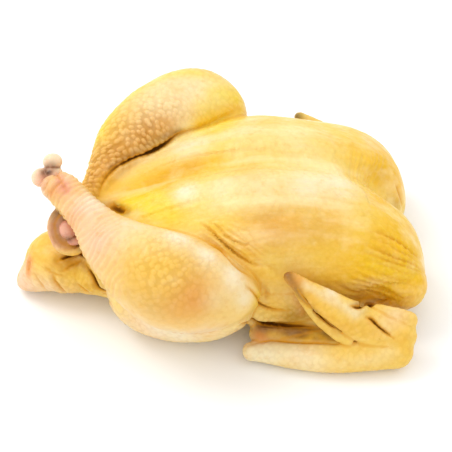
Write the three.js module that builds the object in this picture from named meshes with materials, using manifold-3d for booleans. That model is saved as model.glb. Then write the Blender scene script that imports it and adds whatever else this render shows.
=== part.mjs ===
// A whole raw chicken, plucked and drawn, lying on its back with its ankles crossed.
// Millimetres, +Z up. +X runs from the tail to the neck, and the breast faces up.
// Each muscle group is a loft along a curve, and all of them are joined into one solid.
import * as THREE from "three";
import { mergeVertices } from "three/addons/utils/BufferGeometryUtils.js";
import Module from "manifold-3d";

const wasm = await Module();
wasm.setup();

// Driving sizes of the trunk
const BREAST_REAR = -80; // x of the rounded rear tip of the breast
const BREAST_LENGTH = 200;
const BREAST_HALF_WIDTH = 64;
const BREAST_TOP = 89; // height above the table at the highest point
const FLANK_HEIGHT = 52; // where the rear of the breast is widest
const KEEL_GROOVE_HALF_WIDTH = 13;
const KEEL_GROOVE_DEPTH = 9; // near the neck, where it is deepest
const NECK_NOTCH = 12; // how far the midline is drawn back at the neck
const BACK_HALF_WIDTH = 68;
const BACK_HALF_DEPTH = 28;
const TAIL_HALF_WIDTH = 24;
const TAIL_HALF_DEPTH = 18;
const VENT_HALF_WIDTH = 22;
const VENT_HALF_DEPTH = 13;

// Driving sizes of the limbs
const THIGH_HALF_HEIGHT = 29;
const THIGH_HALF_WIDTH = 24;
const NEAR_DRUMSTICK_RADIUS = 29;
const FAR_DRUMSTICK_RADIUS = 33;
const KNUCKLE_RADIUS = 6;
const NEAR_CUFF_RADIUS = 6.3; // the skin that is drawn back from the near ankle
const FAR_CUFF_RADIUS = 12; // the flesh inside the far ankle's collar
const COLLAR_HALF_WIDTH = 2.9; // the rim of skin round the far ankle
const COLLAR_HALF_THICKNESS = 2.4;
const UPPER_ARM_RADIUS = 17;
const WEB_HALF_WIDTH = 15;
const FOREARM_RADIUS = 11;
const HAND_HALF_WIDTH = 11;
const HAND_HALF_THICKNESS = 8;
const HAND_EDGE_HALF_WIDTH = 3.6; // the loose edge of skin below the near hand
const ALULA_HALF_WIDTH = 7; // the small flap at the wrist
const SHOULDER_RADIUS = 16; // the rounded front of the near shoulder
const TAIL_LIP_HALF_WIDTH = 9;
const FAR_WING_TUCK = 0.9; // the far wing lies this much closer to the body

// The block that flattens the underside where it rests
const TABLE_SIZE = 500;
const TABLE_DEPTH = 60;

// Places the origin at the centre of the finished box's bottom.
const ORIGIN_SHIFT = new THREE.Vector3(4, 2.85, 0);

const SKIN = new THREE.MeshStandardMaterial({
  color: new THREE.Color(0.96, 0.78, 0.42),
  roughness: 0.42,
  metalness: 0,
});

const ACROSS_Y = [0, 1, 0];
const ACROSS_Z = [0, 0, 1];
const ACROSS_HAND = [0.3, 0.5, 0.7];
const ACROSS_COLLAR = [0.81, -0.51, -0.29];
const FACING_COLLAR = [0.42, 0.85, -0.32];
const ACROSS_EDGE = [1, 0.6, 0.7];

// A list of stations, each a share of one size.
function shares(size, values) {
  return values.map((value) => size * value);
}

// A smooth value along a list of stations, at t from 0 to 1.
function along(values, t) {
  const curve = new THREE.CatmullRomCurve3(
    values.map((value, i) => new THREE.Vector3(i, value, 0)),
    false,
    "catmullrom",
    0.5,
  );
  return curve.getPoint(t).y;
}

// The cosine or sine of a superellipse of the given power.
function squared(wave, power) {
  return Math.sign(wave) * Math.abs(wave) ** (2 / power);
}

// How far a loft has opened, as a quarter ellipse, at a share of the way through its end.
function opened(share) {
  const left = 1 - Math.min(1, share);
  return Math.sqrt(1 - left * left);
}

// A closed skin over rings of points, with a pole at each end.
function skinOver(rings, first, last) {
  const sides = rings[0].length;
  const points = [first, ...rings.flat(), last];
  const faces = [];
  const at = (ring, side) => 1 + ring * sides + (side % sides);
  for (let side = 0; side < sides; side++) {
    faces.push(0, at(0, side + 1), at(0, side));
    for (let ring = 0; ring < rings.length - 1; ring++) {
      const [a, b] = [at(ring, side), at(ring, side + 1)];
      const [c, d] = [at(ring + 1, side + 1), at(ring + 1, side)];
      faces.push(a, b, c, a, c, d);
    }
    const end = rings.length - 1;
    faces.push(at(end, side), at(end, side + 1), points.length - 1);
  }
  const geometry = new THREE.BufferGeometry().setFromPoints(points);
  geometry.setIndex(faces);
  return geometry;
}

// Where the rings of a loft lie, from 0 to 1, closer together towards both ends.
function ringPlaces(count) {
  const places = [];
  for (let i = 1; i < count; i++) {
    places.push((1 - Math.cos((Math.PI * i) / count)) / 2);
  }
  return places;
}

// A limb: an oval section carried along a curve, with rounded ends.
// broad is half its size along across, and deep is half its size at right angles to that.
function limb({ spine, broad, deep, across, power = 2, sides = 16, rings = 14 }) {
  const curve = new THREE.CatmullRomCurve3(
    spine.map((place) => new THREE.Vector3(...place)),
    false,
    "centripetal",
  );
  const reference = new THREE.Vector3(...across).normalize();
  const length = curve.getLength();
  const made = ringPlaces(rings).map((t) => {
    const centre = curve.getPoint(t);
    const tangent = curve.getTangent(t);
    const wide = reference.clone().addScaledVector(tangent, -reference.dot(tangent)).normalize();
    const thick = new THREE.Vector3().crossVectors(tangent, wide);
    const a = along(broad, t);
    const b = along(deep, t);
    const reach = Math.max(a, b);
    const round = opened((t * length) / reach) * opened(((1 - t) * length) / reach);
    const ring = [];
    for (let side = 0; side < sides; side++) {
      const angle = (2 * Math.PI * side) / sides;
      ring.push(
        centre
          .clone()
          .addScaledVector(wide, a * round * squared(Math.cos(angle), power))
          .addScaledVector(thick, b * round * squared(Math.sin(angle), power)),
      );
    }
    return ring;
  });
  return skinOver(made, curve.getPoint(0), curve.getPoint(1));
}

// The breast: sections across X, two lobes with a shallow groove along the keel.
function breast() {
  const places = [0, 0.09, 0.21, 0.36, 0.51, 0.67, 0.82, 0.93, 1];
  const half = shares(BREAST_HALF_WIDTH, [0.19, 0.5, 0.72, 0.91, 1, 1, 1, 0.97, 0.81]);
  const top = shares(BREAST_TOP, [0.67, 0.74, 0.84, 0.94, 1, 0.94, 0.82, 0.62, 0.36]);
  const middle = shares(FLANK_HEIGHT, [1, 0.96, 0.92, 0.88, 0.85, 0.77, 0.65, 0.52, 0.38]);
  const bottom = [46, 34, 22, 10, 4, 3, 4, 5, 7];
  const groove = shares(KEEL_GROOVE_DEPTH, [0, 0.1, 0.2, 0.33, 0.33, 0.45, 0.67, 1, 0.67]);
  const [sides, rings] = [38, 28];
  const power = 2.4;
  const [rearEnd, neckEnd] = [0.06, 0.07];
  const [notchStart, notchFull] = [60, 118];
  const made = ringPlaces(rings).map((t) => {
    const x = BREAST_REAR + BREAST_LENGTH * along(places, t);
    const w = along(half, t);
    const centre = along(middle, t);
    const up = along(top, t) - centre;
    const down = centre - along(bottom, t);
    const front = THREE.MathUtils.smoothstep(x, notchStart, notchFull);
    const round = opened(t / rearEnd) * opened((1 - t) / neckEnd);
    const ring = [];
    for (let side = 0; side < sides; side++) {
      const angle = (2 * Math.PI * side) / sides;
      const y = w * round * squared(Math.cos(angle), power);
      const rise = squared(Math.sin(angle), power);
      const valley = Math.exp(-((y / KEEL_GROOVE_HALF_WIDTH) ** 2));
      const cut = along(groove, t) * valley * Math.max(0, rise);
      const z = centre + (rise > 0 ? up : down) * round * rise - cut;
      ring.push(new THREE.Vector3(x - front * NECK_NOTCH * valley, y, z));
    }
    return ring;
  });
  const first = new THREE.Vector3(BREAST_REAR, 0, middle[0]);
  const last = new THREE.Vector3(BREAST_REAR + BREAST_LENGTH - NECK_NOTCH, 0, middle.at(-1));
  return skinOver(made, first, last);
}

// The back and rump, under the breast.
function back() {
  return limb({
    spine: [[-110, -9, 17], [-90, -6, 19], [-60, -2, 24], [0, 0, 26], [60, 0, 26], [108, 0, 22]],
    broad: shares(BACK_HALF_WIDTH, [0.15, 0.34, 0.66, 0.97, 1, 0.71]),
    deep: shares(BACK_HALF_DEPTH, [0.25, 0.54, 0.86, 1, 1, 0.71]),
    across: ACROSS_Y,
    power: 2.3,
    sides: 28,
    rings: 20,
  });
}

function tail() {
  return limb({
    spine: [[-58, -3, 21], [-82, -4, 19.6], [-104, -6, 18.5], [-117, -7.5, 11], [-126, -8, 4.5]],
    broad: shares(TAIL_HALF_WIDTH, [1, 1, 0.84, 0.52, 0.2]),
    deep: shares(TAIL_HALF_DEPTH, [0.8, 0.9, 0.98, 0.5, 0.14]),
    across: ACROSS_Y,
    sides: 18,
    rings: 16,
  });
}

// The thin lower edge of the tail, which spreads where it rests.
function tailLip() {
  return limb({
    spine: [[-98, -10, 9], [-112, -9.5, 7], [-124.5, -8.5, 4.5]],
    broad: shares(TAIL_LIP_HALF_WIDTH, [1, 0.75, 0.3]),
    deep: shares(TAIL_LIP_HALF_WIDTH, [0.56, 0.44, 0.28]),
    across: ACROSS_Y,
    sides: 10,
    rings: 8,
  });
}

// side is -1 for the nearer, lower leg and 1 for the further, raised one.
function thigh(side) {
  const knee = side < 0 ? [10, -70, 42] : [9, 66, 60];
  return limb({
    spine: [[-70, side * 32, 24], [-32, side * 51, 29], knee],
    broad: shares(THIGH_HALF_HEIGHT, [0.69, 1, 0.66]),
    deep: shares(THIGH_HALF_WIDTH, [0.83, 1, 0.75]),
    across: ACROSS_Z,
    sides: 20,
    rings: 12,
  });
}

// The drumstick narrows from the knee to the ankle, which lies over the tail.
function drumstick(side) {
  const near = side < 0;
  const radius = near ? NEAR_DRUMSTICK_RADIUS : FAR_DRUMSTICK_RADIUS;
  return limb({
    spine: near
      ? [[14, -70, 43], [-36, -60, 53], [-67, -38.5, 64], [-80, -21, 71], [-97.5, 2.9, 78.6]]
      : [[22, 68, 66], [-16, 64, 64.5], [-48, 46, 63], [-72, 14, 57], [-92, -9, 52]],
    broad: shares(radius, near ? [0.69, 1, 0.66, 0.41, 0.36] : [0.82, 0.98, 0.79, 0.39, 0.3]),
    deep: shares(radius, near ? [0.62, 0.93, 0.62, 0.38, 0.34] : [0.76, 0.92, 0.73, 0.36, 0.3]),
    across: ACROSS_Z,
    sides: 22,
    rings: 20,
  });
}

// The rounded ends of the ankle joint, where the foot was taken off.
function knuckles(side) {
  const ends = side < 0
    ? [
      { place: [-98.1, 12.1, 84.9], sizes: [0.97, 0.87, 0.8] },
      { place: [-105.2, 6.3, 78.2], sizes: [1, 0.93, 0.97] },
      { place: [-98.6, 6.4, 79.4], sizes: [1.07, 1, 0.97] },
    ]
    : [
      { place: [-91.9, -15.6, 56], sizes: [0.9, 0.87, 1.03] },
      { place: [-89, -19.4, 50], sizes: [0.7, 0.43, 0.5] },
    ];
  return ends.map(({ place, sizes }) => {
    const radii = shares(KNUCKLE_RADIUS, sizes);
    return new THREE.SphereGeometry(1, 12, 8).scale(...radii).translate(...place);
  });
}

// The skin's edge at the near ankle, pushed into a soft roll.
function nearCuff() {
  return limb({
    spine: [[-93, -5, 78], [-99, -1, 76.5], [-105, 2, 74.5]],
    broad: shares(NEAR_CUFF_RADIUS, [1, 1.1, 0.85]),
    deep: shares(NEAR_CUFF_RADIUS, [0.95, 1.05, 0.81]),
    across: ACROSS_Z,
    sides: 12,
    rings: 8,
  });
}

// The flesh of the far ankle, with a shallow cup of skin behind its knuckles.
function farCuff() {
  const flesh = limb({
    spine: [[-84, -1, 54], [-90, -8, 53.5], [-94, -13, 53]],
    broad: shares(FAR_CUFF_RADIUS, [0.8, 1, 0.95]),
    deep: shares(FAR_CUFF_RADIUS, [0.67, 0.83, 0.79]),
    across: ACROSS_Z,
    sides: 14,
    rings: 8,
  });
  const cup = limb({
    spine: [[-91.2, -16, 40.5], [-91.8, -11, 53], [-93.6, -6, 66]],
    broad: shares(FAR_CUFF_RADIUS, [0.58, 0.96, 0.67]),
    deep: shares(FAR_CUFF_RADIUS, [0.27, 0.33, 0.27]),
    across: ACROSS_COLLAR,
    sides: 14,
    rings: 12,
  });
  return [flesh, cup];
}

// The far ankle's collar, an open ring of skin with its ends under the near shank.
function farCollar() {
  const rim = [1, 1, 1, 0.95, 0.8, 0.7, 0.65, 0.65, 0.6];
  return limb({
    spine: [
      [-84, -22.5, 48], [-87.5, -22, 44.5], [-93.3, -20, 42.2],
      [-98.4, -17.2, 43.2], [-101.5, -14, 47.8], [-102.6, -10.8, 54.7],
      [-100.2, -9.4, 61.4], [-95.7, -9.6, 66.8], [-91.2, -12, 66.3],
    ],
    broad: shares(COLLAR_HALF_WIDTH, rim),
    deep: shares(COLLAR_HALF_THICKNESS, rim),
    across: FACING_COLLAR,
    sides: 8,
    rings: 26,
  });
}

// The upper arm lies between the body and the forearm.
function upperArm(side) {
  return limb({
    spine: side < 0
      ? [[96, -54, 22], [50, -66, 12], [9, -69, 11]]
      : [[96, 54, 22], [50, 63, 17], [8, 72, 13]],
    broad: shares(UPPER_ARM_RADIUS, side < 0 ? [1, 0.52, 0.45] : [1, 0.76, 0.65]),
    deep: shares(UPPER_ARM_RADIUS, side < 0 ? [0.88, 0.46, 0.4] : [0.88, 0.67, 0.57]),
    across: ACROSS_Y,
    sides: 14,
    rings: 10,
  });
}

// The fold of skin between the upper arm and the forearm.
function web(side) {
  const out = side < 0 ? 1 : FAR_WING_TUCK;
  return limb({
    spine: [[14, side * 76 * out, 9], [50, side * 80 * out, 11], [90, side * 76 * out, 15]],
    broad: shares(WEB_HALF_WIDTH, side < 0 ? [0.3, 0.8, 0.93] : [0.53, 1, 0.93]),
    deep: shares(WEB_HALF_WIDTH, side < 0 ? [0.14, 0.37, 0.43] : [0.25, 0.47, 0.43]),
    across: ACROSS_Y,
    sides: 12,
    rings: 10,
  });
}

function forearm(side) {
  return limb({
    spine: side < 0
      ? [[4, -78, 8], [50, -88, 8.5], [102, -90, 13]]
      : [[4, 74, 9], [50, 78, 9], [96, 66, 13]],
    broad: shares(FOREARM_RADIUS, side < 0 ? [0.45, 0.82, 1.03] : [0.73, 0.91, 1]),
    deep: shares(FOREARM_RADIUS, side < 0 ? [0.45, 0.82, 1.03] : [0.73, 0.91, 1]),
    across: ACROSS_Y,
    sides: 16,
    rings: 14,
  });
}

// The hand folds back from the wrist and points up beside the body.
function hand(side) {
  return limb({
    spine: side < 0
      ? [[103, -88, 16], [78, -85, 27], [52, -77, 43], [28, -70, 62]]
      : [[92, 62, 17], [78, 64, 30], [66, 68, 45], [54, 72, 57]],
    broad: shares(HAND_HALF_WIDTH, [1, 0.95, 0.73, 0.27]),
    deep: shares(HAND_HALF_THICKNESS, [1, 0.75, 0.63, 0.38]),
    across: ACROSS_HAND,
    sides: 14,
    rings: 14,
  });
}

function alula(side) {
  return limb({
    spine: side < 0
      ? [[104, -83, 24], [92, -80, 31], [78.5, -76, 35.7]]
      : [[94, 60, 22], [87, 62, 27], [80, 64, 32]],
    broad: shares(ALULA_HALF_WIDTH, [1, 0.7, 0.35]),
    deep: shares(ALULA_HALF_WIDTH, [0.71, 0.5, 0.29]),
    across: ACROSS_HAND,
    sides: 10,
    rings: 10,
  });
}

// The skin below the near hand, whose thin edge hangs free.
function handEdge() {
  return limb({
    spine: [
      [32, -75, 59], [41, -74, 40], [48, -77, 30],
      [53, -81, 25.5], [59, -86, 23], [66, -90, 21],
    ],
    broad: shares(HAND_EDGE_HALF_WIDTH, [0.5, 1, 1, 0.9, 0.9, 0.7]),
    deep: shares(HAND_EDGE_HALF_WIDTH, [0.43, 0.61, 0.61, 0.61, 0.61, 0.61]),
    across: ACROSS_EDGE,
    sides: 8,
    rings: 16,
  });
}

function nearShoulder() {
  return limb({
    spine: [[76, -46, 38], [96, -51, 28], [115, -54, 20]],
    broad: shares(SHOULDER_RADIUS, [0.85, 1, 0.92]),
    deep: shares(SHOULDER_RADIUS, [0.85, 1, 0.92]),
    across: ACROSS_Y,
    sides: 16,
    rings: 10,
  });
}

// The hollow between the legs, above the tail.
function vent() {
  return limb({
    spine: [[-108, -1, 41], [-70, 0, 43], [-25, 0, 43]],
    broad: shares(VENT_HALF_WIDTH, [0.82, 1, 0.73]),
    deep: shares(VENT_HALF_DEPTH, [0.54, 1, 1]),
    across: ACROSS_Y,
    sides: 20,
    rings: 14,
  });
}

// A closed geometry as a solid that can be joined and cut.
function solidOf(geometry) {
  geometry.deleteAttribute("normal");
  geometry.deleteAttribute("uv");
  const merged = mergeVertices(geometry, 1e-4);
  return new wasm.Manifold(
    new wasm.Mesh({
      numProp: 3,
      vertProperties: new Float32Array(merged.attributes.position.array),
      triVerts: new Uint32Array(merged.index.array),
    }),
  );
}

function geometryOf(solid) {
  const mesh = solid.getMesh();
  const geometry = new THREE.BufferGeometry();
  geometry.setAttribute("position", new THREE.BufferAttribute(mesh.vertProperties, 3));
  geometry.setIndex(new THREE.BufferAttribute(mesh.triVerts, 1));
  geometry.computeVertexNormals();
  return geometry;
}

const trunk = [breast(), back()].map(solidOf).reduce((whole, piece) => whole.add(piece));
const pieces = [tail(), tailLip(), nearCuff(), ...farCuff(), farCollar(), handEdge(), nearShoulder()];
for (const side of [-1, 1]) {
  pieces.push(thigh(side), drumstick(side), ...knuckles(side));
  pieces.push(upperArm(side), web(side), forearm(side), hand(side), alula(side));
}
const table = new THREE.BoxGeometry(TABLE_SIZE, TABLE_SIZE, TABLE_DEPTH);
table.translate(0, 0, -TABLE_DEPTH / 2);
const bird = pieces
  .map(solidOf)
  .reduce((whole, piece) => whole.add(piece), trunk.subtract(solidOf(vent())))
  .subtract(solidOf(table));

const chicken = new THREE.Mesh(geometryOf(bird).translate(...ORIGIN_SHIFT), SKIN);
chicken.name = "chicken";

const part = new THREE.Group();
part.add(chicken);
export default part;
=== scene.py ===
# %% [markdown]
# # A whole raw chicken
# A plucked, yellow-skinned bird lies on its back with its ankles crossed. Its surface is
# one continuous skin, so the scene builds it as one mesh, lofted muscle by muscle along
# the same curves as the solid. The detail comes after that: skin folds, the bumps left by
# the feathers, the colour of each region, and a moist finish.

# %% Load the frame
import math
import bpy
import numpy as np
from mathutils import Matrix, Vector
from mathutils.kdtree import KDTree


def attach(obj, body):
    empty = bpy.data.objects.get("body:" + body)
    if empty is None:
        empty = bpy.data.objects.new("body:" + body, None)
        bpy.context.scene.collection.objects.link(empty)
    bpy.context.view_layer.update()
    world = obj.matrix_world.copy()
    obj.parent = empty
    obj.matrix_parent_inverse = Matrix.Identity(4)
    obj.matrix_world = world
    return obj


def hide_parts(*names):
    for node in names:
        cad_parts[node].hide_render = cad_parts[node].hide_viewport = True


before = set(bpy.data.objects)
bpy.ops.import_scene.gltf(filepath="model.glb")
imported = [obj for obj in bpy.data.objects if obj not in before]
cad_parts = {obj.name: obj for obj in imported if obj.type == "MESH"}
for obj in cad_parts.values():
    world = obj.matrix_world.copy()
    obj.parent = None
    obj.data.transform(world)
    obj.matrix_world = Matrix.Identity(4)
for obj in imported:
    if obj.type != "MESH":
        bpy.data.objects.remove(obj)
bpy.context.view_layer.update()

# %% [markdown]
# ## Units and curves
# Sizes are written in millimetres, as on the bird, and turned into metres at the end.
# Every limb follows a smooth curve through a few places, so one spline function serves
# both for where a limb runs and for how thick it is along the way.

# %% Spline and section helpers
MM = 0.001
SHIFT = np.array([4.0, 2.85, 0.0])  # from where the lofts are drawn to the frame's origin


def spline(stations, t, even=False):
    """A smooth curve's places at t from 0 to 1, spaced by distance unless even."""
    p = np.asarray(stations, float)
    p = p[:, None] if p.ndim == 1 else p
    place = (len(p) - 1) * np.clip(np.atleast_1d(t), 0, 1)
    i = np.minimum(place.astype(int), len(p) - 2)
    w = (place - i)[:, None]
    p = np.vstack([2 * p[0] - p[1], p, 2 * p[-1] - p[-2]])
    x0, x1, x2, x3 = p[i], p[i + 1], p[i + 2], p[i + 3]
    if even:
        m1, m2 = 0.5 * (x2 - x0), 0.5 * (x3 - x1)
    else:
        d0, d1, d2 = [np.linalg.norm(b - a, axis=1, keepdims=True) ** 0.5
                      for a, b in ((x0, x1), (x1, x2), (x2, x3))]
        m1 = ((x1 - x0) / d0 - (x2 - x0) / (d0 + d1) + (x2 - x1) / d1) * d1
        m2 = ((x2 - x1) / d1 - (x3 - x1) / (d1 + d2) + (x3 - x2) / d2) * d1
    return (x1 + m1 * w + (3 * (x2 - x1) - 2 * m1 - m2) * w ** 2
            + (2 * (x1 - x2) + m1 + m2) * w ** 3)


def along(values, t):
    """One size as it changes along a form."""
    return spline(values, t, even=True)[:, 0]


def squared(wave, power):
    """A sine or cosine that gives a squarer oval for a higher power."""
    return np.sign(wave) * np.abs(wave) ** (2 / power)


def opened(share):
    """Rounds out from 0 at a form's end to 1 where share reaches 1."""
    left = 1 - np.minimum(1, share)
    return np.sqrt(1 - left * left)


def smoothstep(x, low, high):
    t = np.clip((x - low) / (high - low), 0, 1)
    return t * t * (3 - 2 * t)


# %% [markdown]
# ## Lofts
# A loft carries an oval section along a curve and closes it with rounded ends, which is
# how a muscle tapers into its tendon. The forms could be sculpted instead, but a loft
# keeps its sizes in view. Each loft also keeps two coordinates over its surface, one along
# the limb and one round it. They are measured in follicles, so the feather bumps can
# follow the limb later.

# %% Loft builders
PITCH = 4.7  # from one follicle to the next along a limb
NUDGE, FINE_STEPS = 1e-4, 201  # for the direction and the length of a curve


def loft_dict(name, rings, first, last, run=None, turn=None, spread=None):
    """A closed loft: rings of points with a pole at each end, and its coordinates."""
    count, sides = rings.shape[:2]
    points = np.vstack([first, rings.reshape(-1, 3), last])
    ring, side = np.meshgrid(np.arange(count - 1), np.arange(sides), indexing="ij")
    after = (side + 1) % sides
    quads = np.stack([1 + ring * sides + side, 1 + ring * sides + after,
                      1 + (ring + 1) * sides + after, 1 + (ring + 1) * sides + side], -1)
    s = np.arange(sides)
    end = 1 + (count - 1) * sides
    fans = np.vstack([
        np.stack([np.zeros(sides, int), 1 + (s + 1) % sides, 1 + s], -1),
        np.stack([end + s, end + (s + 1) % sides, np.full(sides, len(points) - 1)], -1)])
    return {"name": name, "points": points + SHIFT, "quads": quads.reshape(-1, 4),
            "fans": fans, "rings": rings + SHIFT, "run": run, "turn": turn,
            "spread": spread}


def ring_places(count):
    """Where the rings stand along a form, closer together near its ends."""
    return (1 - np.cos(np.pi * np.arange(1, count) / count)) / 2


def around_once(sides):
    return 2 * np.pi * np.arange(sides) / sides


def follicle_lines(centre, radius, angle, facing):
    """Coordinates that count follicles along and round a limb, and how fast they turn."""
    step = np.linalg.norm(np.diff(centre, axis=0), axis=1)
    run = np.concatenate([[0], np.cumsum(step)]) / PITCH
    turn = (angle - facing + np.pi) % (2 * np.pi) - np.pi
    spread = radius / PITCH
    return run, turn * spread[:, None], spread


def limb(name, spine, broad, deep, across, power=2.0, rings=90, sides=72, facing=0.0):
    """A loft along spine, as broad and deep as given, broad in the direction across."""
    t = ring_places(rings)
    centre = spline(spine, t)
    tangent = spline(spine, t + NUDGE) - spline(spine, t - NUDGE)
    tangent /= np.linalg.norm(tangent, axis=1, keepdims=True)
    reference = np.array(across, float) / np.linalg.norm(across)
    wide = reference - (tangent @ reference)[:, None] * tangent
    wide /= np.linalg.norm(wide, axis=1, keepdims=True)
    thick = np.cross(tangent, wide)
    a, b = along(broad, t), along(deep, t)
    fine = spline(spine, np.linspace(0, 1, FINE_STEPS))
    length = np.linalg.norm(np.diff(fine, axis=0), axis=1).sum()
    reach = np.maximum(a, b)
    closing = opened(t * length / reach) * opened((1 - t) * length / reach)
    angle = around_once(sides)
    made = (centre[:, None]
            + (wide * (a * closing)[:, None])[:, None]
            * squared(np.cos(angle), power)[None, :, None]
            + (thick * (b * closing)[:, None])[:, None]
            * squared(np.sin(angle), power)[None, :, None])
    return loft_dict(name, made, *spline(spine, [0, 1]),
                     *follicle_lines(centre, (a + b) / 2, angle, facing))


# %% [markdown]
# ## The trunk
# The breast is two lobes with a shallow groove over the keel bone between them. It is
# built from sections across the body: each has its own height, width and undercut. At the
# neck end the midline is drawn back, which parts the two lobes.

# %% Breast
BREAST_REAR, BREAST_LENGTH = -80.0, 200.0
BREAST_HALF_WIDTH, BREAST_TOP, FLANK_HEIGHT = 64.0, 89.0, 52.0
GROOVE_HALF_WIDTH, GROOVE_DEPTH, NECK_NOTCH = 13.0, 9.0, 12.0
NOTCH_FROM, NOTCH_FULL = 60, 118  # between these the midline is drawn back
REAR_END, NECK_END = 0.06, 0.07  # shares of the length in which its ends round off
BREAST_SQUARENESS = 2.4
BREAST_GIRTH = 60.0  # the mean radius that its follicles are counted on


def shares(size, values):
    """Sizes along a form, as shares of one size."""
    return size * np.array(values)


def breast(rings=150, sides=132):
    t = ring_places(rings)
    x = BREAST_REAR + BREAST_LENGTH * along([0, 0.09, 0.21, 0.36, 0.51, 0.67, 0.82, 0.93, 1], t)
    half = along(shares(BREAST_HALF_WIDTH, [0.19, 0.5, 0.72, 0.91, 1, 1, 1, 0.97, 0.81]), t)
    top = along(shares(BREAST_TOP, [0.67, 0.74, 0.84, 0.94, 1, 0.94, 0.82, 0.62, 0.36]), t)
    middle_stations = shares(FLANK_HEIGHT, [1, 0.96, 0.92, 0.88, 0.85, 0.77, 0.65, 0.52, 0.38])
    middle = along(middle_stations, t)
    bottom = along([46, 34, 22, 10, 4, 3, 4, 5, 7], t)
    groove = along(shares(GROOVE_DEPTH, [0, 0.1, 0.2, 0.33, 0.33, 0.45, 0.67, 1, 0.67]), t)
    closing = opened(t / REAR_END) * opened((1 - t) / NECK_END)
    angle = around_once(sides)
    y = (half * closing)[:, None] * squared(np.cos(angle), BREAST_SQUARENESS)
    rise = np.broadcast_to(squared(np.sin(angle), BREAST_SQUARENESS), y.shape)
    valley = np.exp(-(y / GROOVE_HALF_WIDTH) ** 2)
    height = np.where(rise > 0, (top - middle)[:, None], (middle - bottom)[:, None])
    z = (middle[:, None] + height * closing[:, None] * rise
         - groove[:, None] * valley * np.maximum(0, rise))
    notch = NECK_NOTCH * smoothstep(x, NOTCH_FROM, NOTCH_FULL)
    drawn = x[:, None] - notch[:, None] * valley
    made = np.stack([drawn, y, z], -1)
    line = np.stack([x, 0 * x, middle], -1)
    first = [BREAST_REAR, 0, middle_stations[0]]
    last = [BREAST_REAR + BREAST_LENGTH - NECK_NOTCH, 0, middle_stations[-1]]
    return loft_dict("breast", made, first, last,
                     *follicle_lines(line, np.full(len(t), BREAST_GIRTH), angle, np.pi / 2))


# %% [markdown]
# The back lies under the breast and tapers to the rump. The tail is a short blunt wedge
# that rests its tip on the table. The vent is the mouth of the body cavity, between the
# legs, and it is cut out of the trunk afterwards.

# %% Back, tail and vent
ACROSS_Y, ACROSS_Z, ACROSS_HAND = (0, 1, 0), (0, 0, 1), (0.3, 0.5, 0.7)


def back():
    return limb(
        "back",
        [[-110, -9, 17], [-90, -6, 19], [-60, -2, 24], [0, 0, 26], [60, 0, 26], [108, 0, 22]],
        shares(68, [0.15, 0.34, 0.66, 0.97, 1, 0.71]),
        shares(28, [0.25, 0.54, 0.86, 1, 1, 0.71]),
        ACROSS_Y, power=2.3, rings=110, sides=96, facing=np.pi / 2)


def tail():
    return limb(
        "tail", [[-58, -3, 21], [-82, -4, 19.6], [-104, -6, 18.5], [-117, -7.5, 11],
                 [-126, -8, 4.5]],
        shares(24, [1, 1, 0.84, 0.52, 0.2]), shares(18, [0.8, 0.9, 0.98, 0.5, 0.14]),
        ACROSS_Y, facing=np.pi / 2)


def vent():
    return limb(
        "vent", [[-108, -1, 41], [-70, 0, 43], [-25, 0, 43]],
        shares(22, [0.82, 1, 0.73]), shares(13, [0.54, 1, 1]), ACROSS_Y)


trunk_lofts = [breast(), back()]
print("trunk:", [len(loft["points"]) for loft in trunk_lofts], "points")

# %% [markdown]
# ## The legs
# The near leg is the bird's left one and the far leg its right. The near ankle lies on
# top of the far one, so the far drumstick is carried lower at its ankle and stands higher
# at its knee.

# %% Legs
def legs(near):
    side, word = (-1, "near") if near else (1, "far")
    if near:
        knee = [10, -70, 42]
        spine = [[14, -70, 43], [-36, -60, 53], [-67, -38.5, 64], [-80, -21, 71],
                 [-97.5, 2.9, 78.6]]
        broad = shares(29, [0.69, 1, 0.66, 0.41, 0.36])
        deep = shares(29, [0.62, 0.93, 0.62, 0.38, 0.34])
    else:
        knee = [9, 66, 60]
        spine = [[22, 68, 66], [-16, 64, 64.5], [-48, 46, 63], [-72, 14, 57], [-92, -9, 52]]
        broad = shares(33, [0.82, 0.98, 0.79, 0.39, 0.3])
        deep = shares(33, [0.76, 0.92, 0.73, 0.36, 0.3])
    thigh = limb(word + "_thigh", [[-70, side * 32, 24], [-32, side * 51, 29], knee],
                 shares(29, [0.69, 1, 0.66]), shares(24, [0.83, 1, 0.75]), ACROSS_Z,
                 facing=side * np.pi / 4)
    drumstick = limb(word + "_drumstick", spine, broad, deep, ACROSS_Z, rings=120, sides=90,
                     facing=-np.pi / 4)
    return [thigh, drumstick]


# %% [markdown]
# ## The wings
# Each wing is folded in a flat Z: the upper arm beside the body, the forearm on the table,
# and the hand turned back up along the flank. A web of skin joins the arm and the forearm,
# and the alula is the bird's small thumb.

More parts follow.
